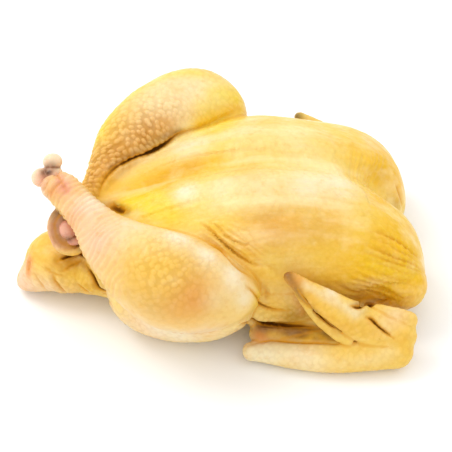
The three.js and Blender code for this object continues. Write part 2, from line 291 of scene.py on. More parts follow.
# %% Wings
def wings(near):
    out, word = (-1, "near") if near else (0.9, "far")
    if near:
        upper = [[96, -54, 22], [50, -66, 12], [9, -69, 11]]
        arm = [[4, -78, 8], [50, -88, 8.5], [102, -90, 13]]
        fingers = [[103, -88, 16], [78, -85, 27], [52, -77, 43], [28, -70, 62]]
        flap = [[104, -83, 24], [92, -80, 31], [78.5, -76, 35.7]]
        upper_size, web_size, arm_size = [1, 0.52, 0.45], [0.3, 0.8, 0.93], [0.45, 0.82, 1.03]
    else:
        upper = [[96, 54, 22], [50, 63, 17], [8, 72, 13]]
        arm = [[4, 74, 9], [50, 78, 9], [96, 66, 13]]
        fingers = [[92, 62, 17], [78, 64, 30], [66, 68, 45], [54, 72, 57]]
        flap = [[94, 60, 22], [87, 62, 27], [80, 64, 32]]
        upper_size, web_size, arm_size = [1, 0.76, 0.65], [0.53, 1, 0.93], [0.73, 0.91, 1]
    web = [[14, 76 * out, 9], [50, 80 * out, 11], [90, 76 * out, 15]]
    return [
        limb(word + "_upper_arm", upper, shares(17, upper_size), shares(15, upper_size),
             ACROSS_Y, facing=np.pi / 2),
        limb(word + "_web", web, shares(15, web_size), shares(7, web_size), ACROSS_Y,
             facing=np.pi / 2),
        limb(word + "_forearm", arm, shares(11, arm_size), shares(11, arm_size), ACROSS_Y,
             facing=np.pi / 2),
        limb(word + "_hand", fingers, shares(11, [1, 0.95, 0.73, 0.27]),
             shares(8, [1, 0.75, 0.63, 0.38]), ACROSS_HAND),
        limb(word + "_alula", flap, shares(7, [1, 0.7, 0.35]), shares(5, [1, 0.7, 0.4]),
             ACROSS_HAND, rings=40, sides=40)]


# %% [markdown]
# ## Edges of skin
# Thin edges of skin stand out below the near hand, round the cut ankles and at the tail,
# and a smooth form rounds the near shoulder where its wing leaves the body. Each one is a
# slim loft that sinks into its limb.

# %% Small forms
def small_forms():
    return [
        limb("hand_edge", [[32, -75, 59], [41, -74, 40], [48, -77, 30], [53, -81, 25.5],
                           [59, -86, 23], [66, -90, 21]],
             shares(3.6, [0.5, 1, 1, 0.9, 0.9, 0.7]), shares(2.2, [0.7, 1, 1, 1, 1, 1]),
             (1, 0.6, 0.7), rings=60, sides=28),
        limb("far_collar", [[-84, -22.5, 48], [-87.5, -22, 44.5], [-93.3, -20, 42.2],
                            [-98.4, -17.2, 43.2], [-101.5, -14, 47.8], [-102.6, -10.8, 54.7],
                            [-100.2, -9.4, 61.4], [-95.7, -9.6, 66.8], [-91.2, -12, 66.3]],
             shares(2.9, [0.7, 1, 1, 1, 0.8, 0.7, 0.7, 0.7, 0.6]),
             shares(2.4, [0.7, 1, 1, 0.9, 0.7, 0.6, 0.6, 0.6, 0.6]),
             (0.42, 0.85, -0.32), rings=90, sides=28),
        limb("far_cuff", [[-84, -1, 54], [-90, -8, 53.5], [-94, -13, 53]],
             shares(12, [0.8, 1, 0.95]), shares(10, [0.8, 1, 0.95]), ACROSS_Z,
             rings=50, sides=48),
        limb("far_cup", [[-91.2, -16, 40.5], [-91.8, -11, 53], [-93.6, -6, 66]],
             shares(11.5, [0.6, 1, 0.7]), shares(4, [0.8, 1, 0.8]), (0.81, -0.51, -0.29),
             rings=60, sides=48),
        limb("near_cuff", [[-93, -5, 78], [-99, -1, 76.5], [-105, 2, 74.5]],
             shares(6.3, [1, 1.1, 0.85]), shares(6, [1, 1.1, 0.85]), ACROSS_Z,
             rings=40, sides=40),
        limb("tail_lip", [[-98, -10, 9], [-112, -9.5, 7], [-124.5, -8.5, 4.5]],
             shares(9, [1, 0.75, 0.3]), shares(5, [1, 0.8, 0.5]), ACROSS_Y,
             rings=50, sides=40),
        limb("near_shoulder", [[76, -46, 38], [96, -51, 28], [115, -54, 20]],
             shares(16, [0.85, 1, 0.92]), shares(16, [0.85, 1, 0.92]), ACROSS_Y,
             rings=60, sides=60, facing=-np.pi / 4)]


limb_lofts = ([tail()] + legs(True) + legs(False) + wings(True) + wings(False)
              + small_forms())
lofts = trunk_lofts + limb_lofts
print(len(lofts), "lofts,", sum(len(loft["points"]) for loft in lofts), "points")

# %% [markdown]
# ## One skin
# The vent is cut from the trunk with a boolean. Then everything overlaps everything else.
# More booleans would join it, but with long thin faces at every seam. A voxel remesh keeps
# only the outer surface, with even faces about a millimetre across. Even faces matter here,
# because the relief moves single points. They are thinned out once the relief is on.

# %% Join the lofts
VOXEL = 0.82


def placed(name, data):
    """Adds an object to the scene."""
    obj = bpy.data.objects.new(name, data)
    bpy.context.scene.collection.objects.link(obj)
    return obj


def mesh_object(name, lofts):
    points, faces, base = [], [], 0
    for loft in lofts:
        points.append(loft["points"] * MM)
        faces += (loft["quads"] + base).tolist() + (loft["fans"] + base).tolist()
        base += len(loft["points"])
    mesh = bpy.data.meshes.new(name)
    mesh.from_pydata(np.vstack(points).tolist(), [], faces)
    return placed(name, mesh)


def applied(obj):
    """Turns obj's modifiers into a plain mesh."""
    depsgraph = bpy.context.evaluated_depsgraph_get()
    mesh = bpy.data.meshes.new_from_object(obj.evaluated_get(depsgraph))
    obj.modifiers.clear()
    obj.data = mesh
    return obj


def combine(obj, other, operation):
    cut = obj.modifiers.new("join", "BOOLEAN")
    cut.operation = operation
    cut.solver = "MANIFOLD"
    cut.object = other
    applied(obj)
    bpy.data.objects.remove(other)
    return obj


def remeshed(obj, voxel):
    """Keeps obj's outer surface, with even faces, voxel millimetres across."""
    shape = obj.modifiers.new("one piece", "REMESH")
    shape.mode = "VOXEL"
    shape.voxel_size = voxel * MM
    return applied(obj)


trunk = combine(mesh_object("trunk", trunk_lofts[:1]), mesh_object("back", trunk_lofts[1:]),
                "UNION")
trunk = combine(trunk, mesh_object("vent", [vent()]), "DIFFERENCE")
skin = mesh_object("chicken_skin", limb_lofts)
with bpy.context.temp_override(active_object=skin, selected_editable_objects=[skin, trunk]):
    bpy.ops.object.join()
remeshed(skin, VOXEL)
print("skin:", len(skin.data.vertices), "points,", len(skin.data.polygons), "faces")


# %% Mesh measuring helpers
def values_of(items, what):
    """Three numbers from each item, as an array."""
    values = np.zeros(len(items) * 3, np.float32)
    items.foreach_get(what, values)
    return values.reshape(-1, 3).astype(float)


def places_of(mesh):
    return values_of(mesh.vertices, "co") / MM


def normals_of(mesh):
    return values_of(mesh.vertex_normals, "vector")


def move_points(mesh, points):
    """Moves the mesh's points to places in millimetres, and none below the table."""
    points[:, 2] = np.maximum(points[:, 2], 0)
    mesh.vertices.foreach_set("co", (points * MM).astype(np.float32).ravel())
    mesh.update()


def neighbours(mesh):
    """Every pair of joined points, both ways round, and each point's number of pairs."""
    pairs = np.zeros(len(mesh.edges) * 2, np.int32)
    mesh.edges.foreach_get("vertices", pairs)
    pairs = pairs.reshape(-1, 2)
    both = np.vstack([pairs, pairs[:, ::-1]])
    count = np.maximum(1, np.bincount(both[:, 0], minlength=len(mesh.vertices)))
    return both, count


def averaged(values, both, count):
    """Each point's mean over its neighbours."""
    columns = values.reshape(len(count), -1)
    sums = [np.bincount(both[:, 0], column[both[:, 1]], minlength=len(count))
            for column in columns.T]
    return (np.stack(sums, -1) / count[:, None]).reshape(values.shape)


# %% [markdown]
# ## Settle the creases
# Where two lofts meet, the join is a knife-sharp valley, and real skin bridges it. The
# valleys are found by asking where a point's neighbours stand proud of it, and only there
# is the surface smoothed. The same measure is kept, because folds hold shade and moisture,
# and the shader paints amber shade into the valleys with it.

# %% Smooth the valleys
VALLEY_FROM, VALLEY_FULL = 0.017, 0.09  # how hollow the skin is where smoothing starts
VALLEY_STEP, EVEN_STEP, EVEN_ROUNDS = 0.6, 0.4, 3


def settle(mesh, voxel, spread=8, rounds=54):
    both, count = neighbours(mesh)
    points = places_of(mesh)
    pull = averaged(points, both, count) - points
    proud = (pull * normals_of(mesh)).sum(1) / voxel ** 2
    hollow = smoothstep(proud, VALLEY_FROM, VALLEY_FULL)
    for _ in range(spread):
        hollow = np.maximum(hollow, averaged(hollow, both, count))
    weight = hollow[:, None]
    for _ in range(rounds):
        points += VALLEY_STEP * weight * (averaged(points, both, count) - points)
    for _ in range(EVEN_ROUNDS):
        points += EVEN_STEP * (averaged(points, both, count) - points)
    move_points(mesh, points)
    return hollow, both, count


crease, pairs, valence = settle(skin.data, VOXEL)
print("points in a valley:", int((crease > 0.5).sum()))

# %% [markdown]
# ## Regions
# Each point of the skin takes the coordinates of the loft point nearest to it, with a
# small correction for the distance between them. That gives every point its region and
# its place among the follicles.

# %% Find each point's region and follicle coordinates
SLOWEST = 0.2  # keeps the correction small where a coordinate hardly changes


def nearest(places, wanted):
    """Which of the places is nearest to each wanted point."""
    tree = KDTree(len(places))
    for i, place in enumerate(places.tolist()):
        tree.insert(place, i)
    tree.balance()
    return np.array([tree.find(p)[1] for p in wanted.tolist()])


def loft_samples(lofts):
    """The place, loft and coordinates of every loft point, and how fast those change."""
    columns = [[] for _ in range(6)]
    for index, loft in enumerate(lofts):
        rings = loft["rings"]
        sides = rings.shape[1]
        d_run = np.gradient(rings, axis=0) / np.gradient(loft["run"])[:, None, None]
        step = 2 * np.pi / sides
        ahead = np.roll(rings, -1, 1) - np.roll(rings, 1, 1)
        d_turn = ahead / (2 * step * loft["spread"][:, None, None])
        made = (rings.reshape(-1, 3), np.full(len(rings) * sides, index),
                np.repeat(loft["run"], sides), loft["turn"].ravel(),
                d_run.reshape(-1, 3), d_turn.reshape(-1, 3))
        for column, values in zip(columns, made):
            column.append(values)
    return [np.concatenate(column) for column in columns]


def regions(points, lofts):
    places, which, runs, turns, run_ways, turn_ways = loft_samples(lofts)
    near = nearest(places, points)
    off = points - places[near]

    def corrected(values, ways):
        way = ways[near]
        return values[near] + (off * way).sum(1) / np.maximum(SLOWEST, (way * way).sum(1))

    return which[near], corrected(runs, run_ways), corrected(turns, turn_ways)


points = places_of(skin.data)
REGION = {loft["name"]: i for i, loft in enumerate(lofts)}
region, run, turn = regions(points, lofts)


def within(name):
    return region == REGION[name]


print({name: int(within(name).sum()) for name in REGION})

# %% [markdown]
# ## How bumpy, and where
# A plucked bird is bumpy only where its feathers grew thickly: the drumsticks, the thighs
# and the shoulders. Over the breast the skin is stretched smooth. The shank has ring
# wrinkles instead, because its skin bunches up when the ankle bends.

# %% Places and paths on the skin
PATH_STEP = 1.5  # between the places that a path is measured from, in millimetres
FURTHEST = 2.5  # reaches from a path, beyond which it does nothing


def around(places, place, reach):
    """1 at place, fading to 0 over reach, in millimetres."""
    away = np.linalg.norm(places - np.array(place, float), axis=1)
    return np.exp(-(away / reach) ** 2)


def near_to(place, reach):
    return around(points, place, reach)


def beside(places, path, reach):
    """1 along the path, fading to 0 over reach, in millimetres."""
    path = np.array(path, float)
    length = np.linalg.norm(np.diff(path, axis=0), axis=1).sum()
    line = spline(path, np.linspace(0, 1, max(3, int(length / PATH_STEP))))
    edge = FURTHEST * reach
    close = ((places > line.min(0) - edge) & (places < line.max(0) + edge)).all(1)
    gap = np.full(len(places), np.inf)
    here = places[close]
    for place in line:
        gap[close] = np.minimum(gap[close], ((here - place) ** 2).sum(1))
    return np.exp(-gap / reach ** 2)


def softened(values, rounds):
    """Values that run into each other over the skin."""
    for _ in range(rounds):
        values = averaged(values, pairs, valence)
    return values


# %% Follicle and ring weights
BUMPINESS = {"far_thigh": 0.5, "near_thigh": 0.22, "back": 0.3, "tail": 0.25, "breast": 0.1}
BUMPY_ELSEWHERE = 0.18
# how far toward the tail the bumps give way, and the rings start and end
NEAR_SHANK, FAR_SHANK, RINGS_START, RINGS_END = (52, 74), (74, 88), (48, 70), (88, 100)
FAR_TRACT = [(-74, 6, 63), (-70, 14, 67), (-62, 26, 76), (-50, 33, 80), (-38, 38, 82)]
BESIDE_KEEL = [(-68, 2, 62), (-62, 7, 66), (-54, 12, 70), (-42, 19, 73), (-26, 27, 77),
               (-10, 36, 79)]
toward_tail = -points[:, 0]

bumpy = np.full(len(points), BUMPY_ELSEWHERE)
for name, amount in BUMPINESS.items():
    bumpy[within(name)] = amount
shoulder = np.clip(near_to((98, -56, 40), 26) + near_to((84, -60, 52), 20), 0, 1)
bumpy = np.where(within("breast"), np.maximum(bumpy, 0.14 * shoulder), bumpy)
far_tract = 0.16 + 1.0 * beside(points, FAR_TRACT, 18)
bumpy = np.where(within("far_drumstick"), far_tract, bumpy)
near_tract = 0.06 + 0.36 * near_to((-32, -68, 76), 24)
bumpy = np.where(within("near_drumstick"), near_tract, bumpy)
bumpy *= 1 - beside(points, BESIDE_KEEL, 9)
near_shank = np.where(within("near_drumstick"), smoothstep(toward_tail, *NEAR_SHANK), 0)
far_shank = np.where(within("far_drumstick"), smoothstep(toward_tail, *FAR_SHANK), 0)
bumpy *= 1 - 0.85 * np.maximum(near_shank, far_shank)
bumpy *= 1 - np.clip(crease * 1.2, 0, 1)
bumpy = softened(bumpy, 10)
ringed = np.where(within("near_drumstick"), smoothstep(toward_tail, *RINGS_START), 0)
ringed = ringed * (1 - 0.6 * smoothstep(toward_tail, *RINGS_END))
stretched = softened(within("breast").astype(float), 20)
print("bumpy area, share of the skin:", round(float((bumpy > 0.3).mean()), 2))

# %% [markdown]
# ## Colour, region by region
# The skin of a corn-fed bird is golden where fat lies under it, pale where it is pulled
# thin over muscle or bone, and pink to tan where meat shows through. Each region starts
# from its own colour, the colours run into each other, and then washes are laid over them
# at places on the body, as a painter would. Some washes are painted light and shade, not
# the skin's own colour: painted highlights on the tops of the breast, the legs and the
# near hand, and painted shade in the vent, under the body's lower edge and where one part
# lies on another. Colours read on the real skin are darkened a little, because the
# studio's light is stronger than white.

# %% Paints
def linear(r, g, b):
    """A screen colour, 0 to 255, as the linear values that the shader works in."""
    c = np.array([r, g, b]) / 255
    return np.where(c <= 0.04045, c / 12.92, ((c + 0.055) / 1.055) ** 2.4)


PAINT = {
    "cream": linear(255, 236, 186), "pale": linear(255, 248, 220),
    "lemon": linear(254, 224, 50), "gold": linear(251, 200, 62),
    "saffron": linear(250, 194, 4), "amber": linear(214, 148, 14),
    "tan": linear(236, 182, 84), "olive": linear(190, 140, 14),
    "orange": linear(232, 130, 44), "blush": linear(255, 222, 178),
    "pink": linear(252, 206, 174), "rose": linear(234, 152, 124),
    "brown": linear(118, 66, 14), "umber": linear(158, 100, 20),
    "dark": linear(44, 22, 6), "sun": linear(255, 230, 44),
    "flesh": linear(214, 148, 120), "clay": linear(226, 176, 140),
}
ALBEDO = 0.82  # how much of a paint's light the skin gives back
SKIN_OF = {
    "breast": linear(253, 216, 98), "back": linear(250, 212, 104),
    "tail": linear(250, 208, 90), "near_thigh": linear(253, 222, 140),
    "far_thigh": linear(248, 206, 98), "near_drumstick": linear(252, 214, 122),
    "far_drumstick": linear(249, 204, 98), "near_cuff": linear(246, 196, 156),
    "far_cuff": linear(232, 172, 124), "far_cup": linear(226, 166, 128),
    "far_collar": linear(244, 200, 138),
}
SKIN_ELSEWHERE = linear(251, 214, 106)

# %% Washes of colour
# A wash is a paint, its place, its reach in millimetres and its strength.
WASHES = [
    # near leg
    ("tan", (-25, -78, 71), 26, 0.8), ("orange", (-21, -82, 65), 12, 0.6),
    ("tan", (-44, -78, 66), 17, 0.7), ("gold", (-36, -70, 77), 14, 0.6),
    ("gold", (-50, -66, 74), 12, 0.5), ("orange", (-30, -78, 56), 8, 0.4),
    # painted highlights: the pale washes along the top of the near drumstick, at its knee and on
    # its shank
    ("pale", (-10, -60, 76), 8, 0.8), ("pale", (3, -70, 66), 8, 0.9),
    ("pale", (-26, -48, 80), 10, 0.8), ("cream", (-50, -36, 82), 12, 0.8),
    ("cream", (-8, -78, 62), 8, 0.5), ("pale", (8, -74, 54), 7, 0.7),
    ("pink", (-71, -44, 77), 17, 0.8), ("pink", (-78, -24, 82), 14, 0.9),
    ("pale", (-70, -18, 82), 8, 0.7), ("rose", (-89, -7, 85), 8, 0.7),
    ("pink", (-85, 0, 87), 7, 0.7), ("orange", (-96, -6, 80), 4, 0.6),
    ("blush", (-100, -3, 76), 4, 0.6), ("rose", (-84, -22, 70), 7, 0.5),
    ("tan", (-76, -30, 78), 13, 0.15),
    # the pale washes low on the near thigh are painted light thrown up from the table onto its
    # pink skin
    ("blush", (-45, -66, 26), 22, 0.9), ("pale", (-28, -76, 26), 12, 0.7),
    ("pale", (-45, -70, 26), 12, 0.4),
    ("blush", (-15, -83, 32), 13, 0.8), ("blush", (-66, -47, 28), 13, 0.7),
    ("gold", (-66, -44, 44), 12, 0.6), ("lemon", (-62, -50, 30), 7, 0.5),
    # tail and vent
    ("gold", (-106, -8, 32), 14, 0.7), ("blush", (-116, -11, 12), 9, 0.9),
    ("orange", (-114, -8, 26), 4.5, 1.0), ("blush", (-102, -20, 16), 11, 0.9),
    ("pink", (-117, -10, 12), 11, 0.8), ("blush", (-90, -28, 12), 8, 0.7),
    ("amber", (-88, -15, 33), 9, 0.8), ("amber", (-78, -28, 22), 6, 0.7),
    ("gold", (-88, -22, 24), 12, 0.6), ("pink", (-122, -9, 6), 4, 0.8),
    ("brown", (-93, -12, 54), 6, 0.35), ("amber", (-88, -18, 44), 7, 0.7),
    # painted shade: the dark wash inside the vent's cavity
    ("dark", (-48, 0, 44), 20, 1.0),
    # far leg
    ("tan", (-41, 40, 86), 28, 0.8), ("brown", (-35, 33, 79), 7, 0.2),
    ("umber", (-30, 36, 82), 12, 0.2), ("amber", (-48, 30, 80), 14, 0.2),
    # painted highlights: the cream washes on top of the far drumstick and over its knee
    ("amber", (-64, 22, 73), 15, 0.45), ("cream", (-26, 56, 96), 22, 0.7),
    ("blush", (-12, 62, 95), 14, 0.5), ("lemon", (13, 68, 86), 14, 0.35),
    ("saffron", (17, 60, 80), 8, 0.5), ("saffron", (4, 51, 84), 9, 0.8),
    ("gold", (-62, 48, 79), 14, 0.6), ("gold", (-80, 20, 66), 12, 0.7),
    ("cream", (-6, 66, 92), 8, 0.5), ("cream", (6, 58, 89), 9, 0.35),
    ("sun", (15, 62, 85), 10, 0.5), ("cream", (-2, 60, 93), 9, 0.3),
    # breast
    ("saffron", (-58, 4, 65), 13, 0.9), ("amber", (-68, 4, 60), 6, 0.9),
    ("saffron", (-44, 5, 70), 10, 0.95), ("saffron", (-50, -8, 68), 9, 0.95),
    ("saffron", (-28, 8, 75), 9, 0.9), ("saffron", (-12, 7, 79), 8, 0.7),
    ("gold", (2, 6, 82), 8, 0.7), ("gold", (20, 2, 86), 8, 0.6),
    ("saffron", (-46, -22, 68), 7, 0.8), ("saffron", (-30, -27, 72), 6, 0.7),
    # painted highlights: the pale and cream washes over the tops of both breast lobes
    ("cream", (-38, 24, 71), 11, 0.7), ("pale", (-12, 24, 80), 14, 0.8),
    ("cream", (18, 28, 83), 16, 0.7), ("lemon", (6, 40, 80), 10, 0.6),
    ("cream", (52, 19, 83), 22, 0.5), ("gold", (30, 34, 80), 10, 0.4),
    ("pale", (-18, -12, 78), 8, 0.85), ("cream", (4, -16, 83), 14, 0.8),
    ("cream", (24, -22, 86), 16, 0.7), ("pale", (50, -20, 83), 14, 0.7),
    ("pale", (70, -16, 78), 14, 0.7), ("tan", (18, -8, 86), 12, 0.4),
    ("tan", (34, -46, 76), 17, 0.9), ("tan", (60, -42, 74), 16, 0.6),
    ("orange", (26, -45, 77), 9, 0.3), ("gold", (62, -52, 64), 20, 0.8),
    ("tan", (13, -53, 67), 9, 0.7), ("gold", (40, -60, 54), 16, 0.7),
    ("saffron", (29, -62, 38), 12, 0.7), ("saffron", (14, -66, 44), 10, 0.7),
    ("olive", (38, -66, 26), 9, 0.8), ("lemon", (20, -70, 46), 6, 0.6),
    ("saffron", (92, -52, 54), 20, 1.0), ("saffron", (104, -52, 42), 16, 1.0),
    ("saffron", (74, -58, 50), 13, 0.6), ("amber", (98, -50, 50), 8, 0.4),
    ("cream", (118, -44, 34), 7, 0.7), ("amber", (95, -64, 27), 9, 0.8),
    ("amber", (80, -63, 34), 8, 0.8), ("gold", (66, -60, 44), 12, 0.7),
    ("saffron", (100, 14, 60), 13, 0.8), ("saffron", (96, -16, 65), 10, 0.9),
    ("gold", (88, 20, 70), 12, 0.7), ("amber", (106, 20, 54), 8, 0.6),
    ("olive", (114, 8, 34), 7, 0.8), ("gold", (108, 34, 50), 12, 0.6),
    ("saffron", (113, 34, 47), 10, 0.7), ("saffron", (116, 18, 41), 9, 0.6),
    ("lemon", (104, -28, 56), 9, 0.7), ("saffron", (98, -48, 55), 13, 0.8),
    ("amber", (28, -44, 77), 12, 0.15), ("cream", (40, -58, 58), 10, 0.2),
    # near wing
    ("pale", (17, -83, 15), 13, 0.9), ("cream", (44, -94, 13), 13, 0.8),
    ("blush", (39, -88, 16), 7, 0.7), ("gold", (64, -94, 16), 13, 0.4),
    # painted highlights: the pale and cream washes along the near hand's upper edge
    ("gold", (97, -91, 21), 13, 0.7), ("pale", (58, -73, 49), 5, 0.9),
    ("cream", (73, -79, 41), 4.5, 0.7), ("cream", (88, -86, 31), 5, 0.6),
    ("gold", (52, -77, 42), 7, 0.7), ("gold", (56, -79, 28), 5, 0.6),
    ("umber", (33, -67, 63), 4.5, 1.0), ("orange", (38, -71, 58), 6, 0.8),
    ("orange", (45, -75, 49), 5, 0.6), ("tan", (66, -82, 33), 9, 0.5),
    ("blush", (96, -80, 32), 8, 0.7), ("orange", (80, -84, 35), 3, 0.5),
    # the upper arm under the body's lower edge: brown mottling that is partly its own colour and
    # partly painted shade from the body above, and the dark wash is painted shadow
    ("umber", (36, -72, 18), 9, 0.2), ("orange", (14, -73, 18), 5, 0.6),
    ("brown", (22, -67, 18), 3, 0.7), ("orange", (28, -70, 17), 3, 0.7),
    ("gold", (32, -73, 16), 3.5, 0.8), ("brown", (38, -70, 16), 3, 0.6),
    ("cream", (18, -74, 17), 3, 0.7), ("olive", (52, -75, 17), 4, 0.7),
    ("gold", (44, -76, 16), 3.5, 0.7), ("umber", (47, -71, 16), 3, 0.8),
    ("dark", (58, -75, 18), 3, 0.5),
    # far wing
    ("dark", (57, 71, 59), 6, 1.0), ("umber", (44, 76, 22), 12, 0.5),
]

# %% Strokes of colour
# A stroke is laid in the same way, but along a path.
STROKES = [
    # breast
    ("saffron", [(-58, -3, 65), (-44, 5, 69), (-29, 9, 73), (-14, 10, 77), (0, 9, 80)], 8, 0.95),
    ("lemon", [(-56, -9, 64), (-44, -10, 69), (-37, -20, 72), (-29, -24, 73)], 6, 0.8),
    ("lemon", [(-52, -2, 67), (-39, -5, 72), (-31, -18, 75)], 5, 0.7),
    ("sun", [(-30, 30, 75), (-10, 38, 78), (12, 46, 78)], 6, 0.6),
    ("gold", [(-64, 4, 65), (-54, 11, 69), (-42, 18, 73)], 6, 0.8),
    # a painted highlight along the far lobe
    ("cream", [(-50, 17, 71), (-38, 23, 74), (-20, 30, 77)], 5, 0.6),
    # far leg
    ("sun", [(-1, 51, 90), (6, 57, 89), (12, 66, 90), (16, 66, 84), (19, 63, 77)], 7, 0.4),
    ("saffron", [(19, 60, 78), (9, 52, 81), (-5, 43, 82)], 4.5, 0.9),
    ("sun", [(-66, 45, 76), (-59, 58, 81), (-42, 72, 90), (-20, 78, 95), (-4, 76, 96)], 6, 0.5),
    ("orange", [(-70, 14, 67), (-60, 24, 75), (-44, 33, 81), (-28, 40, 84)], 10, 0.3),
    ("amber", [(-69, 10, 67), (-58, 22, 74), (-42, 30, 79), (-27, 37, 82)], 8, 0.5),
    # painted shade along the far leg's crease
    ("brown", [(-60, 20, 72), (-42, 28, 77), (-26, 36, 80), (-18, 38, 81)], 2.5, 0.6),
    # shoulder
    ("saffron", [(99, -48, 54), (104, -32, 57), (110, -28, 52)], 11, 0.8),
    ("saffron", [(84, -56, 54), (98, -54, 44), (112, -52, 38)], 11, 0.95),
    ("sun", [(84, -56, 54), (98, -54, 44), (112, -52, 38)], 7, 0.2),
    ("saffron", [(94, -62, 32), (106, -60, 29), (114, -54, 32)], 8, 0.8),
    ("amber", [(86, -62, 30), (97, -62, 25), (108, -60, 20)], 5, 0.7),
    # wing
    ("cream", [(10, -80, 13), (30, -87, 14), (48, -93, 14)], 9, 0.6),
    ("gold", [(56, -95, 15), (75, -96, 15), (95, -93, 18), (101, -87, 26)], 9, 0.5),
    # the upper arm under the body's lower edge: amber and brown that are partly its own colour and
    # partly painted shade, and the dark stroke is the painted shadow of the body's edge
    ("amber", [(10, -71, 20), (30, -71, 16), (54, -76, 18)], 6, 0.5),
    ("brown", [(20, -68, 18), (34, -70, 16), (52, -74, 17)], 2.4, 0.4),
    ("orange", [(6, -76, 22), (14, -73, 18), (20, -72, 15)], 4, 0.7),
    ("dark", [(12, -66, 24), (22, -63, 18), (34, -67, 18), (54, -70, 17)], 1.6, 0.8),
    # painted shade in the gap between the near hand and the shoulder
    ("umber", [(73, -76, 40), (77, -72, 36), (83, -65, 28), (92, -63, 28)], 3.2, 0.9),
    ("gold", [(40, -74, 52), (52, -78, 40), (66, -82, 33), (84, -86, 27)], 6, 0.7),
    ("orange", [(40, -73, 53), (52, -77, 40), (66, -82, 33), (84, -86, 27)], 3.5, 0.25),
    # brown along the hand's left edge: partly its own colour and partly painted shade of the gap
    # beside it
    ("brown", [(34, -69, 62), (38, -72, 56), (43, -74, 48), (49, -77, 41)], 2.6, 0.85),
    ("orange", [(36, -66, 52), (40, -64, 40), (44, -65, 26)], 2.6, 0.4),
    # a painted highlight along the hand's upper edge
    ("cream", [(44, -72, 57), (50, -74, 52), (57, -76, 48), (64, -78, 44), (71, -81, 39)],
     2.8, 0.75),
    ("gold", [(46, -76, 51), (52, -78, 45), (58, -80, 41), (64, -83, 37)], 4, 0.6),
    # ankles and tail
    # painted shadow where the near shank lies over the far ankle
    ("dark", [(-92, -8, 67), (-88, -12, 61), (-85, -16, 54), (-82, -19, 47)], 3.4, 0.9),
    ("brown", [(-98, -17, 40), (-92, -20, 38), (-86, -23, 39), (-80, -23, 38)], 2.2, 0.7),
    ("flesh", [(-88, -12, 44), (-91, -10, 53), (-92, -6, 64)], 7, 0.4),
    ("pink", [(-98, -11, 62), (-99, -13, 53), (-97, -16, 46)], 4.5, 0.6),
    # painted shade where the near shank rests on the far cuff
    ("brown", [(-96, -6, 64), (-91, -8, 66), (-89, -10, 62)], 4.5, 0.8),
    # painted shade in the mouth of the vent
    ("brown", [(-67, 0, 62), (-61, -4, 63), (-56, -9, 63), (-53, -12, 64)], 3.4, 1.0),
    ("amber", [(-97, -16, 32), (-90, -17, 33), (-83, -18, 33)], 4, 0.6),
    ("gold", [(-84, -23, 29), (-79, -28, 24), (-75, -33, 18)], 5, 0.6),
    ("olive", [(-74, -31, 24), (-70, -38, 20), (-65, -45, 18)], 3, 0.5),
    ("rose", [(-92, 7, 83), (-90, -3, 87), (-87, -10, 85)], 2.6, 0.8),
    ("rose", [(-98, -6, 74), (-101, -4, 77), (-101, 0, 81)], 2.2, 0.6),
    ("rose", [(-102, -11, 55), (-101, -13, 48), (-99, -16, 44)], 3.5, 0.5),
    ("gold", [(-96, -19, 41), (-90, -21, 41), (-84, -22, 43)], 4, 0.8),
    ("cream", [(-99, -18, 45), (-94, -20, 44), (-88, -22, 46)], 2, 0.6),
    # beside the legs
    ("gold", [(-66, 4, 64), (-61, 9, 68), (-53, 14, 71), (-42, 20, 74), (-28, 27, 77)], 5, 0.95),
    ("cream", [(-55, 14, 71), (-43, 20, 74), (-28, 27, 77), (-12, 35, 79)], 4, 0.6),
    ("amber", [(-38, 8, 71), (-26, 9, 74), (-12, 9, 78)], 6, 0.4),
    ("saffron", [(102, 27, 61), (106, 22, 56), (110, 20, 50), (114, 19, 42)], 8, 0.8),
    ("tan", [(14, -40, 79), (28, -42, 78), (44, -44, 76), (60, -44, 73)], 10, 0.5),
    ("amber", [(20, -44, 78), (34, -46, 76), (50, -48, 73)], 6, 0.2),
    # more on the upper arm under the body's lower edge: brown mottling, partly its own colour and
    # partly painted shade, and the dark stroke is painted shadow
    ("umber", [(12, -71, 20), (24, -70, 18), (40, -72, 17), (58, -77, 18)], 4.5, 0.45),
    ("brown", [(14, -68, 19), (21, -68, 18), (28, -69, 17)], 2.6, 0.9),
    ("orange", [(8, -75, 20), (12, -73, 19), (17, -72, 18)], 3, 0.6),
    ("gold", [(22, -74, 17), (26, -72, 17), (31, -74, 16)], 2.2, 0.9),
    ("brown", [(34, -70, 17), (38, -72, 17), (43, -72, 16)], 2.2, 0.8),
    ("gold", [(46, -77, 16), (50, -74, 17), (55, -78, 17)], 2.4, 0.8),
    ("dark", [(56, -74, 18), (61, -77, 19), (66, -81, 21)], 2.0, 0.7),
    ("cream", [(14, -78, 15), (24, -80, 15), (36, -82, 15)], 3.5, 0.6),
    ("cream", [(36, -92, 14), (56, -96, 14), (76, -97, 15), (90, -94, 17)], 6, 0.35),
    # a painted highlight over the far knee
    ("cream", [(-2, 58, 92), (6, 62, 92), (12, 66, 90)], 9, 0.45),
    ("lemon", [(4, 60, 90), (14, 64, 86), (18, 64, 80)], 6, 0.5),
    ("saffron", [(110, 44, 50), (113, 34, 48), (115, 22, 44)], 7, 0.5),
    ("cream", [(24, -62, 44), (30, -62, 42), (38, -62, 40)], 8, 0.25),
    ("orange", [(-115, -9, 29), (-114, -10, 25), (-114, -12, 21)], 2.6, 0.9),
    ("amber", [(-10, -42, 71), (-4, -48, 67), (1, -54, 68), (6, -60, 65), (13, -63, 58),
               (17, -65, 50)], 4, 0.45),
    ("saffron", [(-6, -38, 75), (2, -45, 73), (8, -51, 70), (14, -57, 64), (19, -61, 56)], 4, 0.5),
]


# %% Paint the skin
COLOUR_ROUNDS = 48  # how often each point takes its neighbours' mean


def washed(tone, paint, weight):
    return tone * (1 - weight[:, None]) + PAINT[paint] * weight[:, None]


